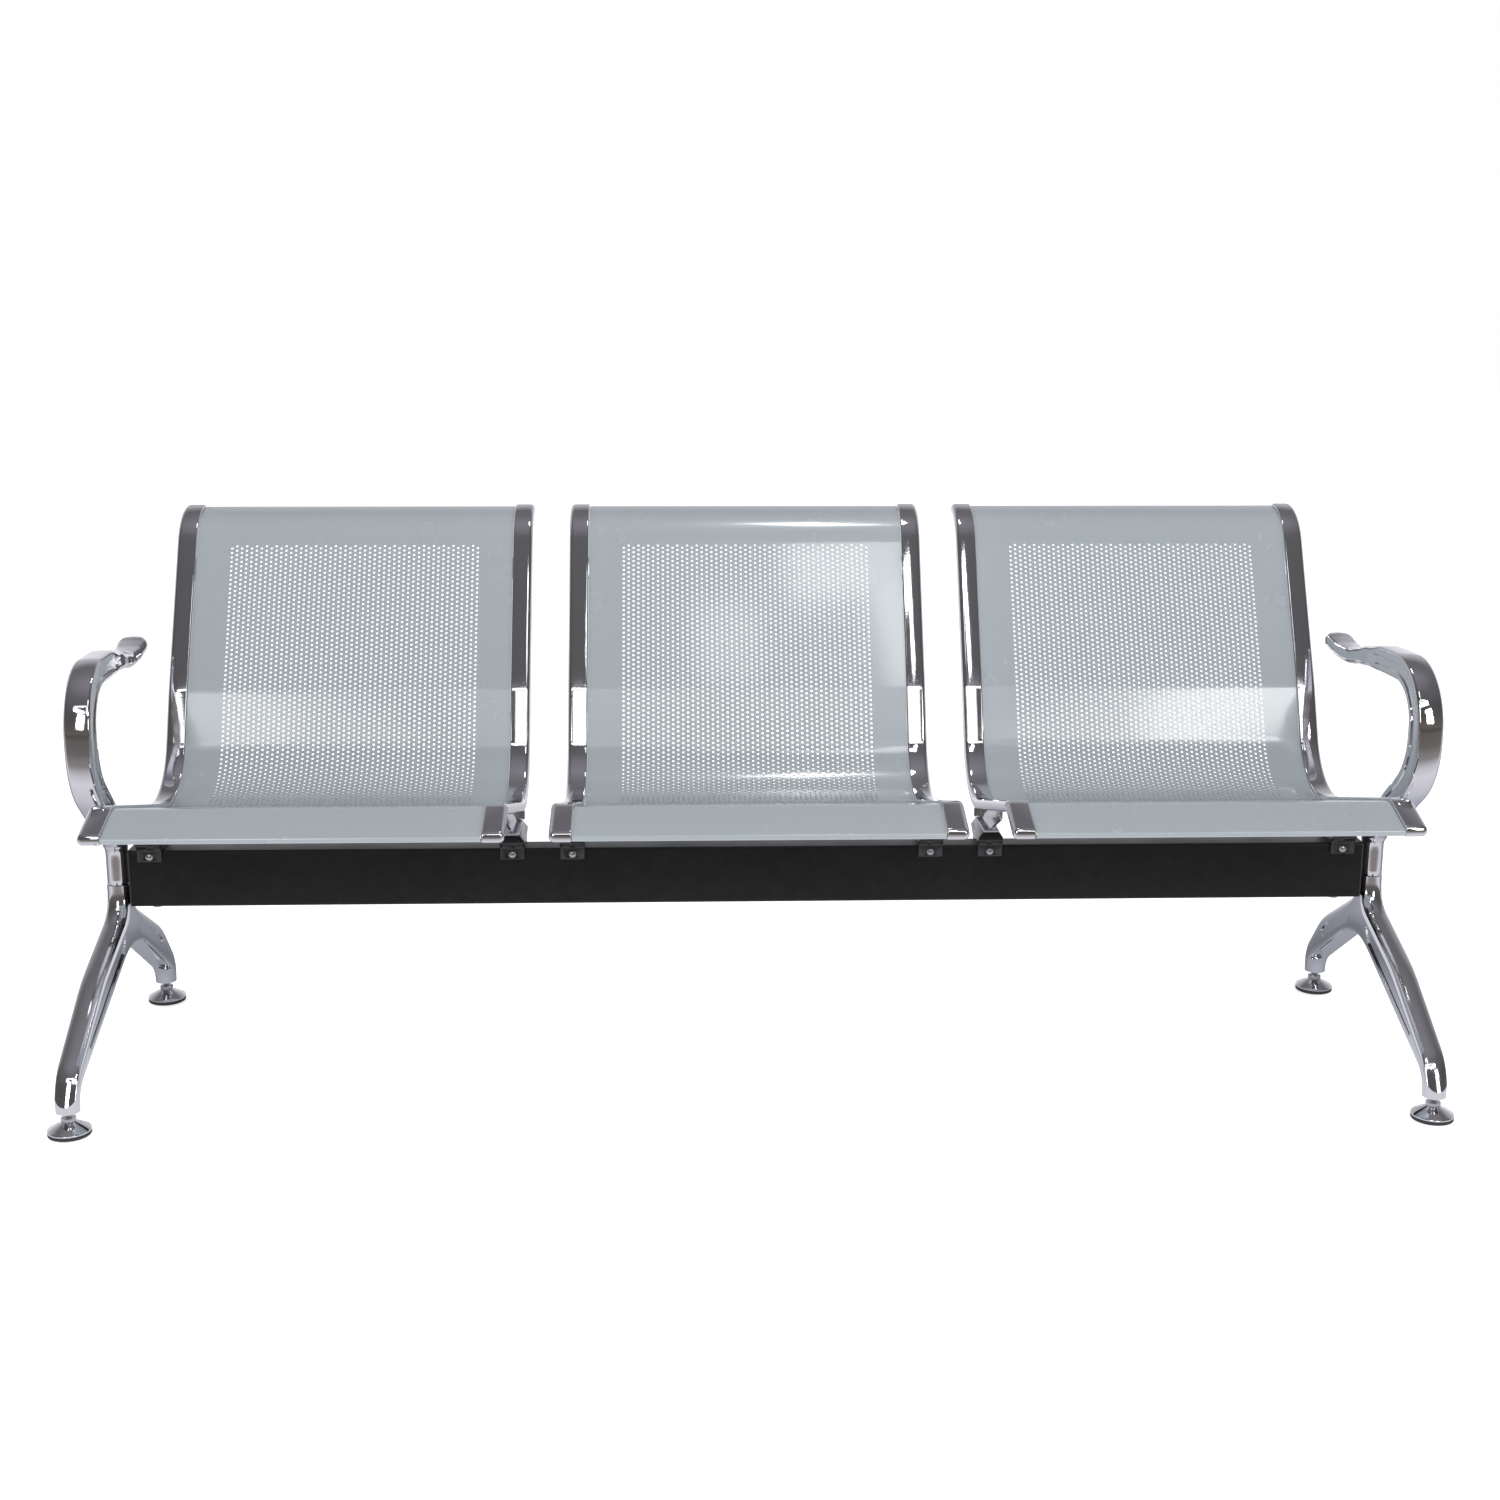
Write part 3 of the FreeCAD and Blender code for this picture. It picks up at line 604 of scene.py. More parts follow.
class SEATING_OT_finishes(bpy.types.Operator):
    """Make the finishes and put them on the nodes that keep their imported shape"""
    bl_idname = "seating.finishes"
    bl_label = "Finishes"

    def execute(self, context):
        colours = context.scene.seating_colours
        grain_group()
        wear_and_sheen_group()
        coat, black, plating = tuple(colours.coat), tuple(colours.black), tuple(colours.plating)
        zinc, rubber = tuple(colours.zinc), tuple(colours.rubber)
        cap, bright = (0.02, 0.02, 0.02), (0.9, 0.9, 0.92)
        for name, metal, share, rough, grain, bump, wear in (
                ("rail_chrome", plating, 0.94, (0.03, 0.07), (500.0, 9.0, 3.0), (0.06, 0.0004), 0.3),
                ("leg_chrome", plating, 0.92, (0.05, 0.10), (320.0, 14.0, 3.0), (0.10, 0.0005), 0.3),
                ("arm_chrome", plating, 0.94, (0.03, 0.07), (400.0, 12.0, 3.0), (0.08, 0.0005), 0.3),
                ("bracket_chrome", plating, 0.85, (0.08, 0.20), (700.0, 20.0, 1.0), (0.10, 0.0003), 0.3),
                ("cup_chrome", plating, 0.9, (0.05, 0.10), (700.0, 20.0, 1.0), (0.05, 0.0002), 0.3),
                ("bolt_steel", zinc, 0.8, (0.18, 0.30), (900.0, 20.0, 0.6), (0.15, 0.0002), 0.4),
                ("stud_steel", zinc, 0.75, (0.15, 0.28), (900.0, 20.0, 0.6), (0.15, 0.0002), 0.5)):
            finish(name, metal, darker(metal, share), bright, 1.0, rough, grain, bump, wear)
        # The seat coat's edge colour, lighter than the coat, paints a highlight along the hemmed lip and the sheet's
        # other convex edges
        finish("seat_coat", coat, darker(coat, 0.985), darker(coat, 1.3), 0.0, (0.25, 0.28), (1500.0, 5.0, 1.5),
               (0.12, 0.0004), 0.25, coat=1.0, coat_rough=0.10)
        finish("beam_black", black, darker(black, 1.6), darker(black, 6), 0.0, (0.34, 0.46), (1800.0, 7.0, 0.6),
               (0.20, 0.0002), 0.5, coat=0.22, coat_rough=0.2, shine=0.14)
        finish("saddle_black", darker(black, 0.8), black, darker(black, 8), 0.0, (0.12, 0.22), (1200.0, 9.0, 0.8),
               (0.15, 0.0002), 0.4, coat=0.5, coat_rough=0.08)
        finish("cap_black", cap, darker(cap, 1.5), darker(cap, 4), 0.0, (0.42, 0.55), (2200.0, 9.0, 0.3),
               (0.25, 0.0002), 0.3)
        finish("foot_rubber", rubber, darker(rubber, 1.6), darker(rubber, 3), 0.0, (0.55, 0.75), (1100.0, 20.0, 0.4),
               (0.35, 0.0003), 0.4)
        for row in frame["record"]["subparts"]:
            dress(frame["nodes"][row["node"]], bpy.data.materials["finish_" + row["material_slot"]])
        return {"FINISHED"}


class SEATING_OT_seat_sheets(bpy.types.Operator):
    """Perforate, bend and thicken one sheet and copy it to each place"""
    bl_idname = "seating.seat_sheets"
    bl_label = "Seat sheets"

    def execute(self, context):
        sizes = context.scene.seating_sizes
        corners = [(LIP[0] + HEM_RETURN, LIP[1] - HEM_DROP, 0), (LIP[0], LIP[1] - HEM_DROP, HEM_ROUND),
                   (*LIP, HEM_ROUND), (*CREST, CREST_ROUND), (*BEND, BEND_ROUND), (*CREASE, CREASE_ROUND),
                   (*ROLL_CORNER, ROLL_ROUND), (*TOP_END, HEM_ROUND),
                   (TOP_END[0] + TOP_HEM_LEAN, TOP_END[1] - HEM_DROP - TOP_HEM_LEAN, 0)]
        path = Path(corners)
        low = path.where(lambda p: p.x > FIELD_FRONT_Y and p.y > CREST[1] - FIELD_LOW_DROP) * MM
        high = path.where(lambda p: p.x > CREASE[0] and p.y > FIELD_TOP_Z) * MM
        rows = round((high - low) / sizes.row_pitch)
        sheet = perforated_field(sizes, low, rows)
        stops = [mark * MM for mark in path.stops(SHEET_ARC)]
        extend_field(stops, low, low + (rows + 0.5) * sizes.row_pitch)
        widen_field()
        leave_edit()
        for vertex in sheet.data.vertices:
            vertex.co = place(path.at(vertex.co.y / MM), vertex.co.x)
        edit_mesh()
        face_outward()
        upward = sum(face.normal.z * face.area for face in sheet.data.polygons)
        if upward < 0:
            edit_mesh()
            select_all()
            bpy.ops.mesh.flip_normals()
            leave_edit()
        modify(sheet, "SOLIDIFY", thickness=sizes.sheet, offset=-1.0, use_even_offset=True)
        smooth(sheet, degrees=25.0)
        for seat in SEATS:
            stands_for(copied(sheet, "seat_sheet_" + seat, SEAT_X[seat]), "seat_coat", "seat_panel_" + seat)
        bpy.data.objects.remove(sheet)
        return {"FINISHED"}


def perforated_field(sizes, low, rows):
    """Flat field of staggered holes as a mesh in X and Y, where Y is the distance along the sheet."""
    wide, tall = sizes.column_pitch, sizes.row_pitch
    deselect()
    bpy.ops.mesh.primitive_circle_add(vertices=6, radius=sizes.hole_width / 2, fill_type="NOTHING",
                                      location=(0, 0, 0))
    sheet = active("sheet")
    edit_mesh()
    select_all()
    bpy.ops.transform.rotate(value=math.radians(30), orient_axis="Z", center_override=(0, 0, 0))
    bpy.ops.mesh.extrude_edges_move()
    mesh = bmesh.from_edit_mesh(sheet.data)
    for vertex in mesh.verts:
        if vertex.select:
            steep = abs(vertex.co.y) > abs(vertex.co.x) * CORNER_SLOPE
            vertex.co.x = math.copysign(wide / 2, vertex.co.x)
            vertex.co.y = math.copysign(tall / 2, vertex.co.y) if steep else 0.0
    bmesh.update_edit_mesh(sheet.data)
    leave_edit()
    start_x = -(sizes.columns - 1) / 2 * wide
    for vertex in sheet.data.vertices:
        vertex.co.x += start_x
        vertex.co.y += low + tall / 2
    repeat(sheet, rows, (0, tall, 0))
    edit_mesh()
    select_all()
    bpy.ops.mesh.duplicate_move(TRANSFORM_OT_translate={"value": (wide, tall / 2, 0)})
    weld(WELD)
    leave_edit()
    repeat(sheet, (sizes.columns + 1) // 2, (2 * wide, 0, 0))
    edit_mesh()
    edge_x = sizes.columns / 2 * wide
    select_where(lambda v: v.co.x > edge_x + WELD)
    bpy.ops.mesh.delete(type="VERT")
    top = low + rows * tall
    for start, end in ((low + tall / 2, low), (top, top + tall / 2)):
        select_where(lambda e: all(abs(v.co.y - start) < WELD for v in e.verts) and len(e.link_faces) == 1
                     and abs(abs(e.verts[0].co.x - e.verts[1].co.x) - wide) < WELD, "EDGE")
        bpy.ops.mesh.extrude_edges_move(TRANSFORM_OT_translate={"value": (0, end - start, 0)})
    weld(WELD)
    return sheet


def repeat(sheet, count, step):
    """Array of the sheet whose neighbours share their points."""
    modify(sheet, "ARRAY", count=count, use_relative_offset=False, use_constant_offset=True,
           constant_offset_displace=step, use_merge_vertices=True, merge_threshold=WELD)


def outer_edges(test):
    """In edit mode, select the boundary edges whose ends both pass a test."""
    select_where(lambda e: len(e.link_faces) == 1 and all(test(v.co) for v in e.verts), "EDGE")


def extend_field(stops, low, high):
    """Carry the field's straight front and top edges on to both ends of the sheet, stop by stop."""
    for level, marks in ((low, [m for m in reversed(stops) if m < low - WELD]),
                         (high, [m for m in stops if m > high + WELD])):
        for mark in marks:
            outer_edges(lambda place_at: abs(place_at.y - level) < CLOSE_WELD)
            bpy.ops.mesh.extrude_edges_move(TRANSFORM_OT_translate={"value": (0, mark - level, 0)})
            level = mark


def widen_field():
    """Carry both side edges out to the plain margins of the sheet."""
    mesh = bmesh.from_edit_mesh(bpy.context.object.data)
    edge_x = max(v.co.x for v in mesh.verts)
    for side in (-1, 1):
        outer_edges(lambda place_at: abs(place_at.x - side * edge_x) < CLOSE_WELD)
        bpy.ops.mesh.extrude_edges_move(TRANSFORM_OT_translate={"value": (side * (SHEET_HALF - edge_x), 0, 0)})


class SEATING_OT_side_rails(bpy.types.Operator):
    """Model one rounded rail with its tabs and copy it, mirrored, to both sides of each seat"""
    bl_idname = "seating.side_rails"
    bl_label = "Side rails"

    def execute(self, context):
        sizes = context.scene.seating_sizes
        path = [(*LIP, 0), (*CREST, CREST_ROUND), (*BEND, BEND_ROUND), (*CREASE, RAIL_CREASE_ROUND),
                (*ROLL_CORNER, ROLL_ROUND), (*TOP_END, 0)]
        ring = shifted(path, RAIL_PROUD) + shifted(path, RAIL_PROUD - RAIL_DEPTH)[::-1]
        ring = [(y, z, radius or RAIL_END_ROUND) for y, z, radius in ring]
        inner = SHEET_HALF + RAIL_GAP * MM
        stations = even_stations(inner, inner + sizes.rail_width, len(ring), RAIL_INNER_ROUND * MM, sizes.rail_round)
        parts = [side_loft("rail", ring, stations)]
        for start, rise, distance in TABS:
            parts += tab_with_screw(onward(start, (distance, rise)), rise, inner)
        rail = joined("rail", parts)
        for seat in SEATS:
            for side, sign in SIDES:
                one = copied(rail, f"rail_{seat}_{side}", SEAT_X[seat], sign < 0)
                stands_for(one, "rail_chrome", f"side_rail_{seat}_{side}")
        bpy.data.objects.remove(rail)
        return {"FINISHED"}


def tab_with_screw(middle, rise, inner):
    """Flat tab under the sheet, reaching in from the rail, with a pan-head screw below it."""
    under = math.radians(rise - 90)
    along = Vector((math.cos(math.radians(rise)), math.sin(math.radians(rise))))
    down = Vector((math.cos(under), math.sin(under)))
    centre = Vector(middle)
    corners = [(*(centre + along * TAB_LONG / 2 * a + down * (SHEET_MM + TAB_THICK * b)), TAB_ROUND)
               for a, b in ((-1, 0), (1, 0), (1, 1), (-1, 1))]
    x0, x1 = inner - TAB_WIDE * MM, inner + TAB_OVERLAP * MM
    tab = side_loft("tab", corners, even_stations(x0, x1, 4, TAB_END_ROUND * MM, TAB_ROOT_ROUND * MM, steps=2))
    seat = centre + down * (SHEET_MM + TAB_THICK)
    screw = turned("screw", PAN_HEAD, place(seat, inner - TAB_WIDE / 2 * MM), steps=20,
                   tilt=(math.atan2(down.y, down.x) - math.pi / 2, 0.0, 0.0))
    return [tab, screw]


class SEATING_OT_beam(bpy.types.Operator):
    """Model the crossbeam with eased edges, and ease the edges of the parts bolted to it"""
    bl_idname = "seating.beam"
    bl_label = "Beam, caps, saddles and brackets"

    def execute(self, context):
        low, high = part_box("crossbeam")
        half = BEAM_DEEP / 2
        ring = [(y, z / MM, BEAM_ROUND) for y, z in ((-half, low.z), (half, low.z), (half, high.z), (-half, high.z))]
        beam = side_loft("beam", ring, [(x, [0.0] * len(ring)) for x in (low.x, high.x)], arc_step=9.0)
        stands_for(beam, "beam_black", "crossbeam")
        for side, _ in SIDES:
            cap = softened("beam_end_cap_" + side, "end_cap_" + side, CAP_EDGE)
            for vertex in cap.data.vertices:
                past = abs(vertex.co.x) - high.x
                if past > 0:
                    vertex.co.x -= math.copysign(past * CAP_THINNER, vertex.co.x)
            stands_for(cap, "cap_black", "beam_end_cap_" + side)
        heads = []
        for tag in (f"{seat}_{side}" for seat in SEATS for side, _ in SIDES):
            saddle = softened("saddle_" + tag, "beam_saddle_" + tag, SADDLE_EDGE, segments=4)
            stands_for(saddle, "saddle_black", "saddle_" + tag)
            bracket = softened("bracket_" + tag, "seat_bracket_" + tag, BRACKET_EDGE)
            stands_for(bracket, "bracket_chrome", "bracket_" + tag)
            spot = Vector((middle_of("saddle_" + tag).x, BEAM_Y - SKIRT_FACE * MM, high.z - CLAMP_DROP * MM))
            heads.append(turned("clamp_head", COACH_HEAD, spot, steps=32, tilt=(math.pi / 2, 0.0, 0.0)))
        stands_for(joined("clamp_bolt_heads", heads), "bolt_steel", "clamp_bolts")
        return {"FINISHED"}


class SEATING_OT_legs(bpy.types.Operator):
    """Model one arched leg with its round neck and ankles and mirror it to the other end"""
    bl_idname = "seating.legs"
    bl_label = "Legs"

    def execute(self, context):
        leg = side_loft("leg", [corner[:3] for corner in LEG], leg_stations())
        for vertex in leg.data.vertices:
            z = vertex.co.z / MM
            low = min(1.0, max(0.0, (LEG_TAPER_TOP - z) / (LEG_TAPER_TOP - ANKLE_TOP)))
            high = min(1.0, max(0.0, (z - NECK_TAPER_LOW) / (NECK_TAPER_HIGH - NECK_TAPER_LOW)))
            vertex.co.x *= 1 - (1 - ANKLE_HALF / LEG_HALF) * low - (1 - NECK_HALF / LEG_HALF) * high
        for outline in RECESSES:
            for sign in (-1, 1):
                reaches = zip((LEG_HALF + RECESS_PAST, LEG_HALF - RECESS_DEEP), RECESS_INSETS)
                carved(leg, side_loft("recess", outline, [(sign * reach * MM, [depth] * len(outline))
                                                          for reach, depth in reaches]))
        smooth(leg, degrees=28.0)
        for side, sign in SIDES:
            one = copied(leg, "leg_casting_" + side, sign * LEG_X, sign < 0)
            stands_for(one, "leg_chrome", "leg_" + side)
        bpy.data.objects.remove(leg)
        return {"FINISHED"}


def leg_stations():
    """Stations across the leg: crowned bands outside, a round neck and ankles, small rounds under the arch."""
    stations = []
    for x, band, plain in zip(LEG_X_MARKS, BAND_INSET, PLAIN_INSET):
        rounding = 1 - math.sqrt(1 - min(x / LEG_HALF, ROUND_END) ** 2)
        inset_of = {"band": band, "plain": plain, "neck": NECK_HALF * rounding, "foot": ANKLE_HALF * rounding,
                    "end": 0.0}
        stations.append((x * MM, [inset_of[corner[3]] for corner in LEG]))
    return [(-x, insets) for x, insets in reversed(stations[1:])] + stations


class SEATING_OT_armrests(bpy.types.Operator):
    """Sweep one armrest along its line and mirror it to the other end"""
    bl_idname = "seating.armrests"
    bl_label = "Armrests"

    def execute(self, context):
        line = Path([corner[:3] for corner in ARM])
        eye = line.middles[-2]
        marks = [m for m in line.stops(ARM_ARC, ARM_RUN) if m < eye]
        marks += [eye + PADDLE_HALF * math.sin(math.pi / 2 * k / PAD_CUTS) * PAD_REACH for k in range(PAD_CUTS + 1)]
        rings = []
        for mark in marks:
            half_x, half_n, rounding, groove = blended(line.middles, [corner[3:] for corner in ARM], mark)
            past = max(0.0, mark - eye) / PADDLE_HALF
            half_x *= math.sqrt(max(0.0, 1 - past ** 2))
            half_n *= (1 - past ** 3) ** 0.5 if past < 1 else 0.0
            here, side = line.at(mark), line.side(mark)
            rings.append([place(here + side * n, x * MM) for x, n in
                          arm_section(max(half_x, PAD_LEAST), max(half_n, PAD_LEAST), rounding, groove)])
        arm = lofted("arm", rings, degrees=40.0)
        for side, sign in SIDES:
            one = copied(arm, "arm_" + side, sign * LEG_X, sign < 0, ARM_TURNS[side])
            stands_for(one, "arm_chrome", "armrest_" + side)
        bpy.data.objects.remove(arm)
        return {"FINISHED"}


def blended(marks, values, mark):
    """Values at a mark, eased from one key to the next."""
    for i in range(len(marks) - 1):
        if marks[i] <= mark <= marks[i + 1]:
            share = (mark - marks[i]) / max(marks[i + 1] - marks[i], 1e-9)
            share = share * share * (3 - 2 * share)
            return [a + (b - a) * share for a, b in zip(values[i], values[i + 1])]
    return values[-1]


def arm_section(half_x, half_n, rounding, groove):
    """Section of the armrest as (x, outward) in millimetres: round corners, a groove each side, a crowned face."""
    rounding = min(rounding, half_x - 0.5, half_n - 0.5)
    flat = half_n - rounding
    wide, ease = min(GROOVE_HALF, 0.7 * flat), min(0.8, 0.25 * flat)
    corner = [(half_x - rounding + rounding * math.sin(a), half_n - rounding + rounding * math.cos(a))
              for a in (math.pi / 2 * k / ARM_CORNER_CUTS for k in range(ARM_CORNER_CUTS + 1))]
    groove_side = [(half_x, wide + ease), (half_x - groove, wide - ease), (half_x - groove, ease - wide),
                   (half_x, -wide - ease)]
    right = [(0.0, half_n)] + corner + groove_side + [(x, -n) for x, n in reversed(corner)] + [(0.0, -half_n)]
    ring = right + [(-x, n) for x, n in reversed(right[1:-1])]
    return [(x, n + (ARM_CROWN * (1 - (x / half_x) ** 2) if n > flat else 0.0)) for x, n in ring]


class SEATING_OT_feet(bpy.types.Operator):
    """Turn the cups, pads and threaded studs of the four levelling feet"""
    bl_idname = "seating.feet"
    bl_label = "Levelling feet"

    def execute(self, context):
        for place_name, y in (("front", FOOT_FRONT), ("rear", FOOT_BACK)):
            for side, sign in SIDES:
                tag = f"{place_name}_{side}"
                spot = (sign * LEG_X, BEAM_Y + y * MM, 0)
                for kind, profile, slot in (("cup", CUP, "cup_chrome"), ("pad", PAD, "foot_rubber")):
                    piece = turned(f"level_{kind}_{tag}", profile, spot, steps=64)
                    stands_for(piece, slot, f"foot_{kind}_{tag}", body="foot_" + tag)
                thread = turned("thread", thread_profile(), spot, steps=32)
                stud = joined("level_stud_" + tag, [thread, hexagon(spot)])
                stands_for(stud, "stud_steel", "foot_stud_" + tag, body="stud_" + tag)
        return {"FINISHED"}


def thread_profile():
    """Stud with its turns drawn as ridges."""
    profile = [(0.0, STUD_LOW), (THREAD_ROOT, STUD_LOW)]
    for k in range(int((STUD_HIGH - STUD_LOW - 2 * THREAD_LEAD) / THREAD_PITCH)):
        z = STUD_LOW + THREAD_LEAD + k * THREAD_PITCH
        profile += [(THREAD_VALLEY, z), (THREAD_HALF, z + THREAD_PITCH * 0.4), (THREAD_HALF, z + THREAD_PITCH * 0.6)]
    return profile + [(THREAD_ROOT, STUD_HIGH), (0.0, STUD_HIGH)]


def hexagon(spot):
    """Hexagon of a stud, with chamfered corners."""
    deselect()
    x, y, _ = spot
    bpy.ops.mesh.primitive_cylinder_add(vertices=6, radius=HEX_FLATS / math.sqrt(3) * MM, depth=HEX_TALL * MM,
                                        location=(x, y, (HEX_LOW + HEX_TALL / 2) * MM))
    piece = active("hexagon")
    settle(piece)
    edit_mesh()
    select_all()
    bpy.ops.mesh.bevel(offset=HEX_BEVEL * MM, segments=2, affect="EDGES")
    leave_edit()
    smooth(piece, degrees=25.0)
    return piece


# Camera of the photograph: metres from the line of the front feet, and pitch, roll and yaw in radians
CAMERA_PLACE = (-0.09705, -2.40770, 1.04139)
CAMERA_TURN = (-0.2222, -0.0024, -0.0351)
LENS, SENSOR, FAR_CLIP = 48.0, 36.0, 60.0

# Studio: soft boxes (name, place, size, glow) aimed at one point
AIM = (0.0, 0.1, 0.5)
WINDOWS = (
    ("box_middle", (0.36, -1.45, 2.50), (0.34, 0.18), 6.0),
    ("box_small", (0.03, -1.60, 2.35), (0.18, 0.22), 3.0),
    ("box_side", (0.51, -1.58, 2.33), (0.12, 0.30), 8.0),
    ("box_left", (-1.18, -1.90, 1.86), (0.85, 0.20), 2.2),
    ("box_left_end", (-1.34, -1.86, 1.86), (0.42, 0.20), 2.7),
    ("box_right", (1.22, -1.90, 1.87), (0.95, 0.24), 2.8),
    ("box_right_end", (1.42, -1.86, 1.87), (0.55, 0.23), 7.0),
    ("box_top", (0.22, 0.26, 2.55), (0.34, 0.24), 14.0),
    ("box_low", (0.05, -1.90, 1.88), (1.50, 0.42), 1.5),
    ("strip_crease", (0.0, -1.90, 2.24), (3.2, 0.06), 3.5),
    ("low_left", (-1.02, -1.9, 1.14), (0.46, 0.80), 5.0),
    ("low_right", (1.62, -1.9, 1.10), (0.42, 0.80), 5.0))

# What gloss sees, as (position, colour) stops: the floor along Y, and the room by height, in front and behind
FLOOR_SIZE, FLOOR_DROP, FLOOR_REACH, ROOM_RISE, ROOM_TURN = 40.0, 0.0005, (-6.0, 4.0), (-0.1, 1.0), (0.0, 0.35)
FLOOR_STOPS = ((0.0, (0.10, 0.09, 0.083)), (0.42, (0.17, 0.155, 0.147)), (0.512, (0.29, 0.265, 0.255)),
               (0.54, (0.62, 0.60, 0.64)), (0.56, (0.80, 0.79, 0.84)), (0.588, (0.66, 0.66, 0.72)),
               (0.611, (0.45, 0.46, 0.52)), (0.637, (0.20, 0.205, 0.225)), (0.655, (0.30, 0.31, 0.36)),
               (0.72, (0.55, 0.55, 0.58)), (1.0, (0.85, 0.84, 0.88)))
FRONT_STOPS = ((0.0, (0.14, 0.125, 0.115)), (0.09, (0.14, 0.125, 0.115)), (0.36, (0.10, 0.09, 0.085)),
               (0.55, (0.09, 0.088, 0.09)), (0.85, (0.14, 0.138, 0.145)), (1.0, (0.25, 0.24, 0.26)))
BACK_STOPS = ((0.0, (0.9, 0.9, 0.95)), (0.25, (0.82, 0.82, 0.85)), (0.38, (0.54, 0.54, 0.58)),
              (0.55, (0.45, 0.45, 0.48)), (0.70, (0.28, 0.27, 0.27)), (0.80, (0.16, 0.155, 0.165)),
              (1.0, (0.18, 0.178, 0.185)))


class SEATING_OT_stage(bpy.types.Operator):
    """Pale floor, soft studio light and the photograph's camera"""
    bl_idname = "seating.stage"
    bl_label = "Stage"

    def execute(self, context):
        scene = context.scene
        scene.view_settings.view_transform = "Standard"
        floor_and_room()
        studio_lights()
        deselect()
        bpy.ops.object.camera_add()
        camera = context.object
        pitch, roll, yaw = CAMERA_TURN
        turn = (Matrix.Rotation(yaw, 3, "Z") @ Matrix.Rotation(pitch, 3, "X") @ Matrix.Rotation(roll, 3, "Y"))
        right, ahead, up = (turn @ Vector(axis) for axis in ((1, 0, 0), (0, 1, 0), (0, 0, 1)))
        look = Matrix((right, up, -ahead)).transposed().to_4x4()
        x, y, z = CAMERA_PLACE
        look.translation = Vector((x, y + FOOT_FRONT * MM + BEAM_Y, z))
        camera.matrix_world = look
        camera.data.lens, camera.data.sensor_width, camera.data.clip_end = LENS, SENSOR, FAR_CLIP
        scene.camera = camera
        return {"FINISHED"}


def shade_ramp(tree, factor, stops):
    """Colour at a place on a ramp of given (position, colour) stops."""
    ramp = wired(tree, "ValToRGB", {"Fac": factor})
    for position, colour in stops[1:-1]:
        ramp.color_ramp.elements.new(position)
    for element, (position, colour) in zip(ramp.color_ramp.elements, stops):
        element.position = position
        element.color = (*colour, 1)
    return ramp.outputs["Color"]


def along(tree, kind, axis, reach):
    """From 0 to 1 along one axis of the given coordinates."""
    axes = wired(tree, "SeparateXYZ", {"Vector": wired(tree, "TexCoord").outputs[kind]})
    return wired(tree, "MapRange", {"Value": axes.outputs[axis], "From Min": reach[0],
                                    "From Max": reach[1]}).outputs["Result"]


def split_by_ray(tree, plain, mirrored, sink):
    """Show one shader to the eye and to matt surfaces, and another to gloss."""
    gloss = wired(tree, "LightPath").outputs["Is Glossy Ray"]
    blend = wired(tree, "MixShader", {"Fac": gloss, 1: plain, 2: mirrored})
    feed(tree, tree.nodes[sink], {"Surface": blend.outputs["Shader"]})


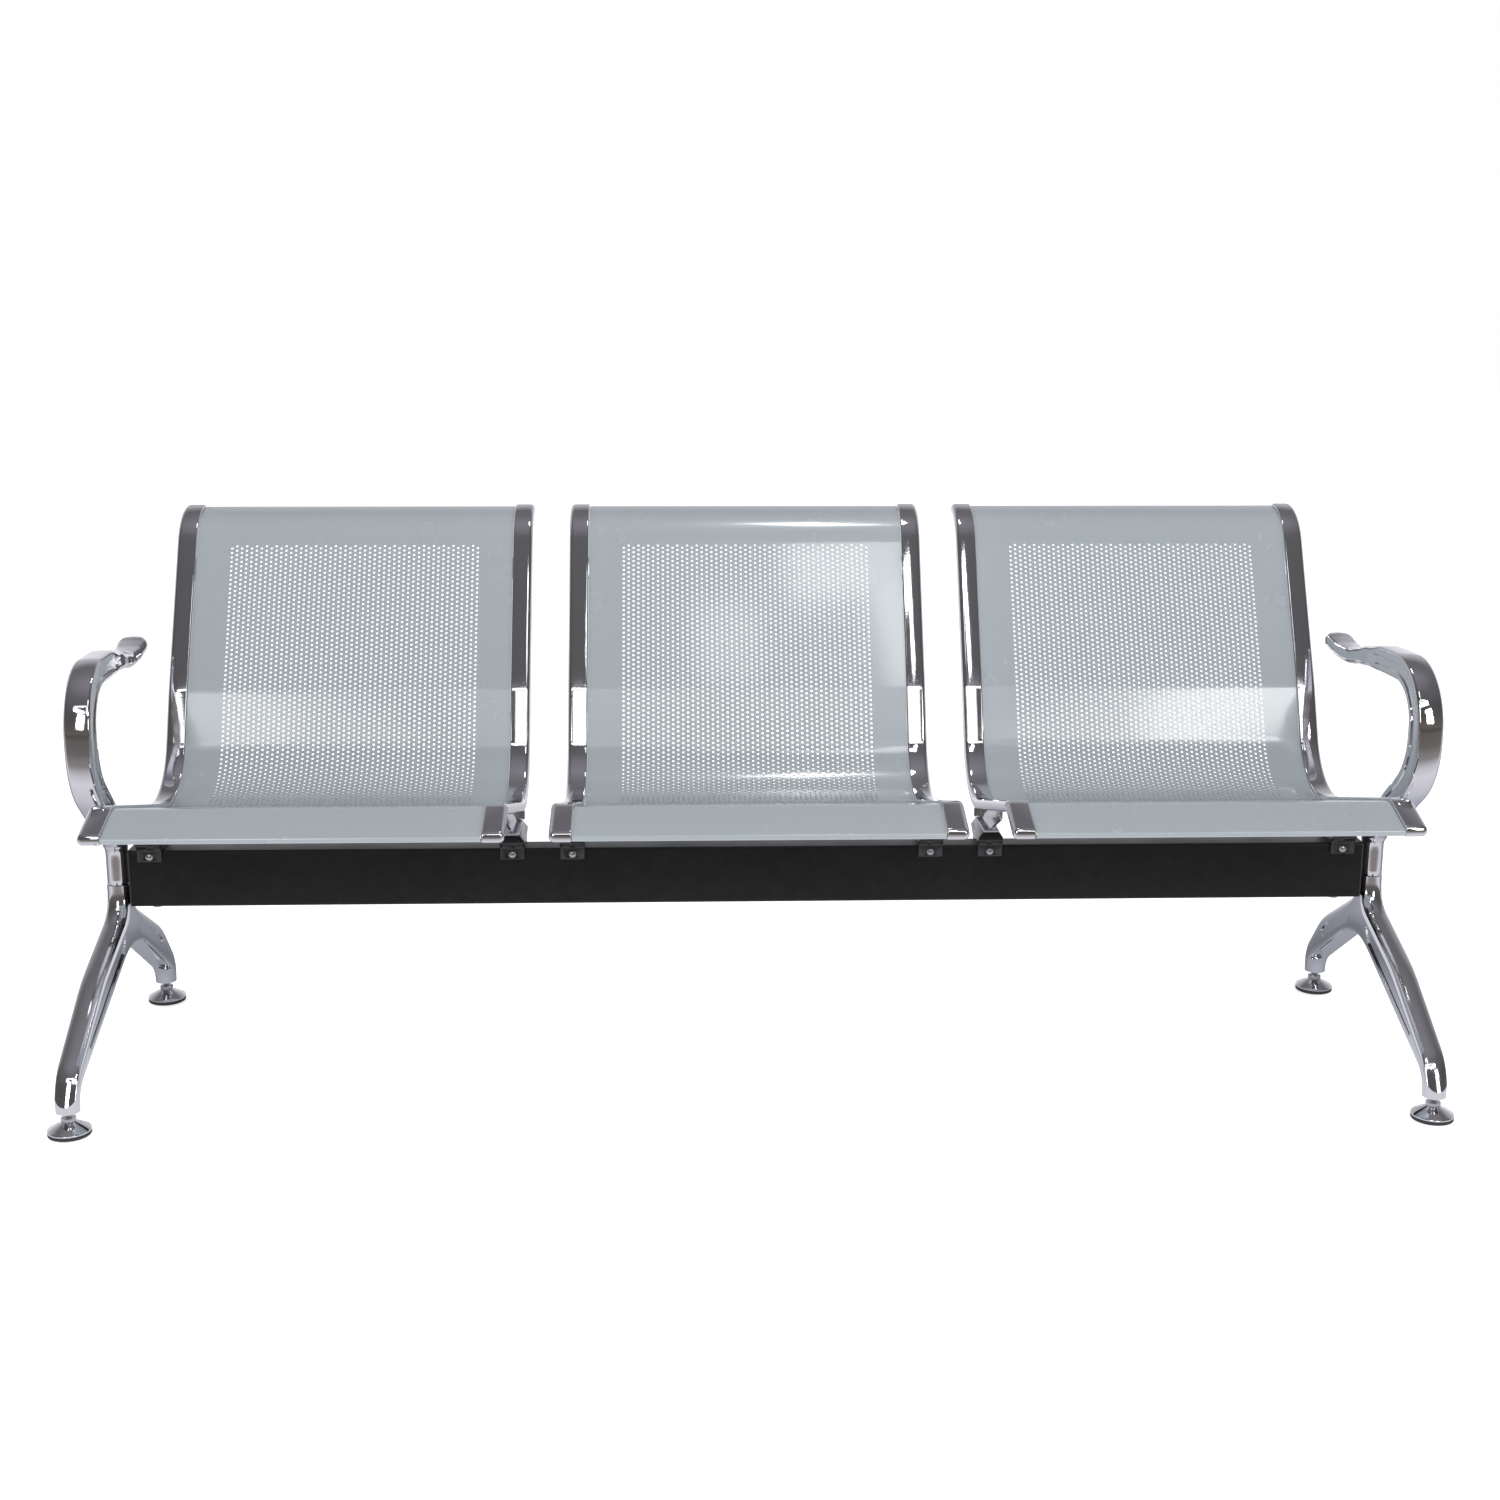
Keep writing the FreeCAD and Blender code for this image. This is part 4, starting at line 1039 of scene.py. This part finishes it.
def floor_and_room():
    """White floor and room for the eye; gloss sees the studio's darker front, ceiling and tinted floor."""
    deselect()
    bpy.ops.mesh.primitive_plane_add(size=FLOOR_SIZE, location=(0, 0, -FLOOR_DROP))
    floor = active("floor")
    material = bpy.data.materials.new("floor_pale")
    material.use_nodes = True
    tree = material.node_tree
    pale = tree.nodes["Principled BSDF"]
    feed(tree, pale, {"Base Color": (0.86, 0.86, 0.87, 1), "Roughness": 0.7, "Emission Color": (1, 1, 1, 1),
                      "Emission Strength": 0.5})
    glow = wired(tree, "Emission", {"Color": shade_ramp(tree, along(tree, "Object", "Y", FLOOR_REACH), FLOOR_STOPS)})
    split_by_ray(tree, pale.outputs["BSDF"], glow.outputs["Emission"], "Material Output")
    dress(floor, material)
    world = bpy.data.worlds.new("studio")
    bpy.context.scene.world = world
    world.use_nodes = True
    tree = world.node_tree
    rise, turn = along(tree, "Generated", "Z", ROOM_RISE), along(tree, "Generated", "Y", ROOM_TURN)
    front, back = (shade_ramp(tree, rise, stops) for stops in (FRONT_STOPS, BACK_STOPS))
    room = wired(tree, "Background", {"Color": mixed(tree, turn, front, back)})
    plain = tree.nodes["Background"]
    feed(tree, plain, {"Color": (1, 1, 1, 1), "Strength": 1.0})
    split_by_ray(tree, plain.outputs["Background"], room.outputs["Background"], "World Output")


def studio_lights():
    """Soft boxes high in front of the bench, which the polished parts mirror as bright windows."""
    for name, place_at, size, glow in WINDOWS:
        deselect()
        bpy.ops.object.light_add(type="AREA", location=place_at)
        light = bpy.context.object
        light.name = name
        light.data.shape = "RECTANGLE"
        light.data.size, light.data.size_y = size
        light.visible_camera = False
        light.data.energy = glow * math.pi * size[0] * size[1]
        light.rotation_euler = (Vector(AIM) - Vector(place_at)).to_track_quat("-Z", "Y").to_euler()


class SEATING_PT_panel(bpy.types.Panel):
    """Sidebar panel with the bench's steps"""
    bl_label = "Beam Seating"
    bl_idname = "SEATING_PT_panel"
    bl_space_type = "VIEW_3D"
    bl_region_type = "UI"
    bl_category = "Seating"

    def draw(self, context):
        for group in (context.scene.seating_sizes, context.scene.seating_colours):
            for key in group.__annotations__:
                self.layout.prop(group, key)
        for operator in OPERATORS:
            self.layout.operator(operator.bl_idname)


GROUPS = (SeatSizes, FinishColours)
OPERATORS = (SEATING_OT_finishes, SEATING_OT_seat_sheets, SEATING_OT_side_rails, SEATING_OT_beam, SEATING_OT_legs,
             SEATING_OT_armrests, SEATING_OT_feet, SEATING_OT_stage)


def register():
    for item in GROUPS + OPERATORS + (SEATING_PT_panel,):
        bpy.utils.register_class(item)
    bpy.types.Scene.seating_sizes = bpy.props.PointerProperty(type=SeatSizes)
    bpy.types.Scene.seating_colours = bpy.props.PointerProperty(type=FinishColours)


def unregister():
    del bpy.types.Scene.seating_colours
    del bpy.types.Scene.seating_sizes
    for item in reversed(GROUPS + OPERATORS + (SEATING_PT_panel,)):
        bpy.utils.unregister_class(item)


def main():
    register()
    bpy.ops.seating.finishes()
    bpy.ops.seating.seat_sheets()
    bpy.ops.seating.side_rails()
    bpy.ops.seating.beam()
    bpy.ops.seating.legs()
    bpy.ops.seating.armrests()
    bpy.ops.seating.feet()
    bpy.ops.seating.stage()


if __name__ == "__main__":
    main()
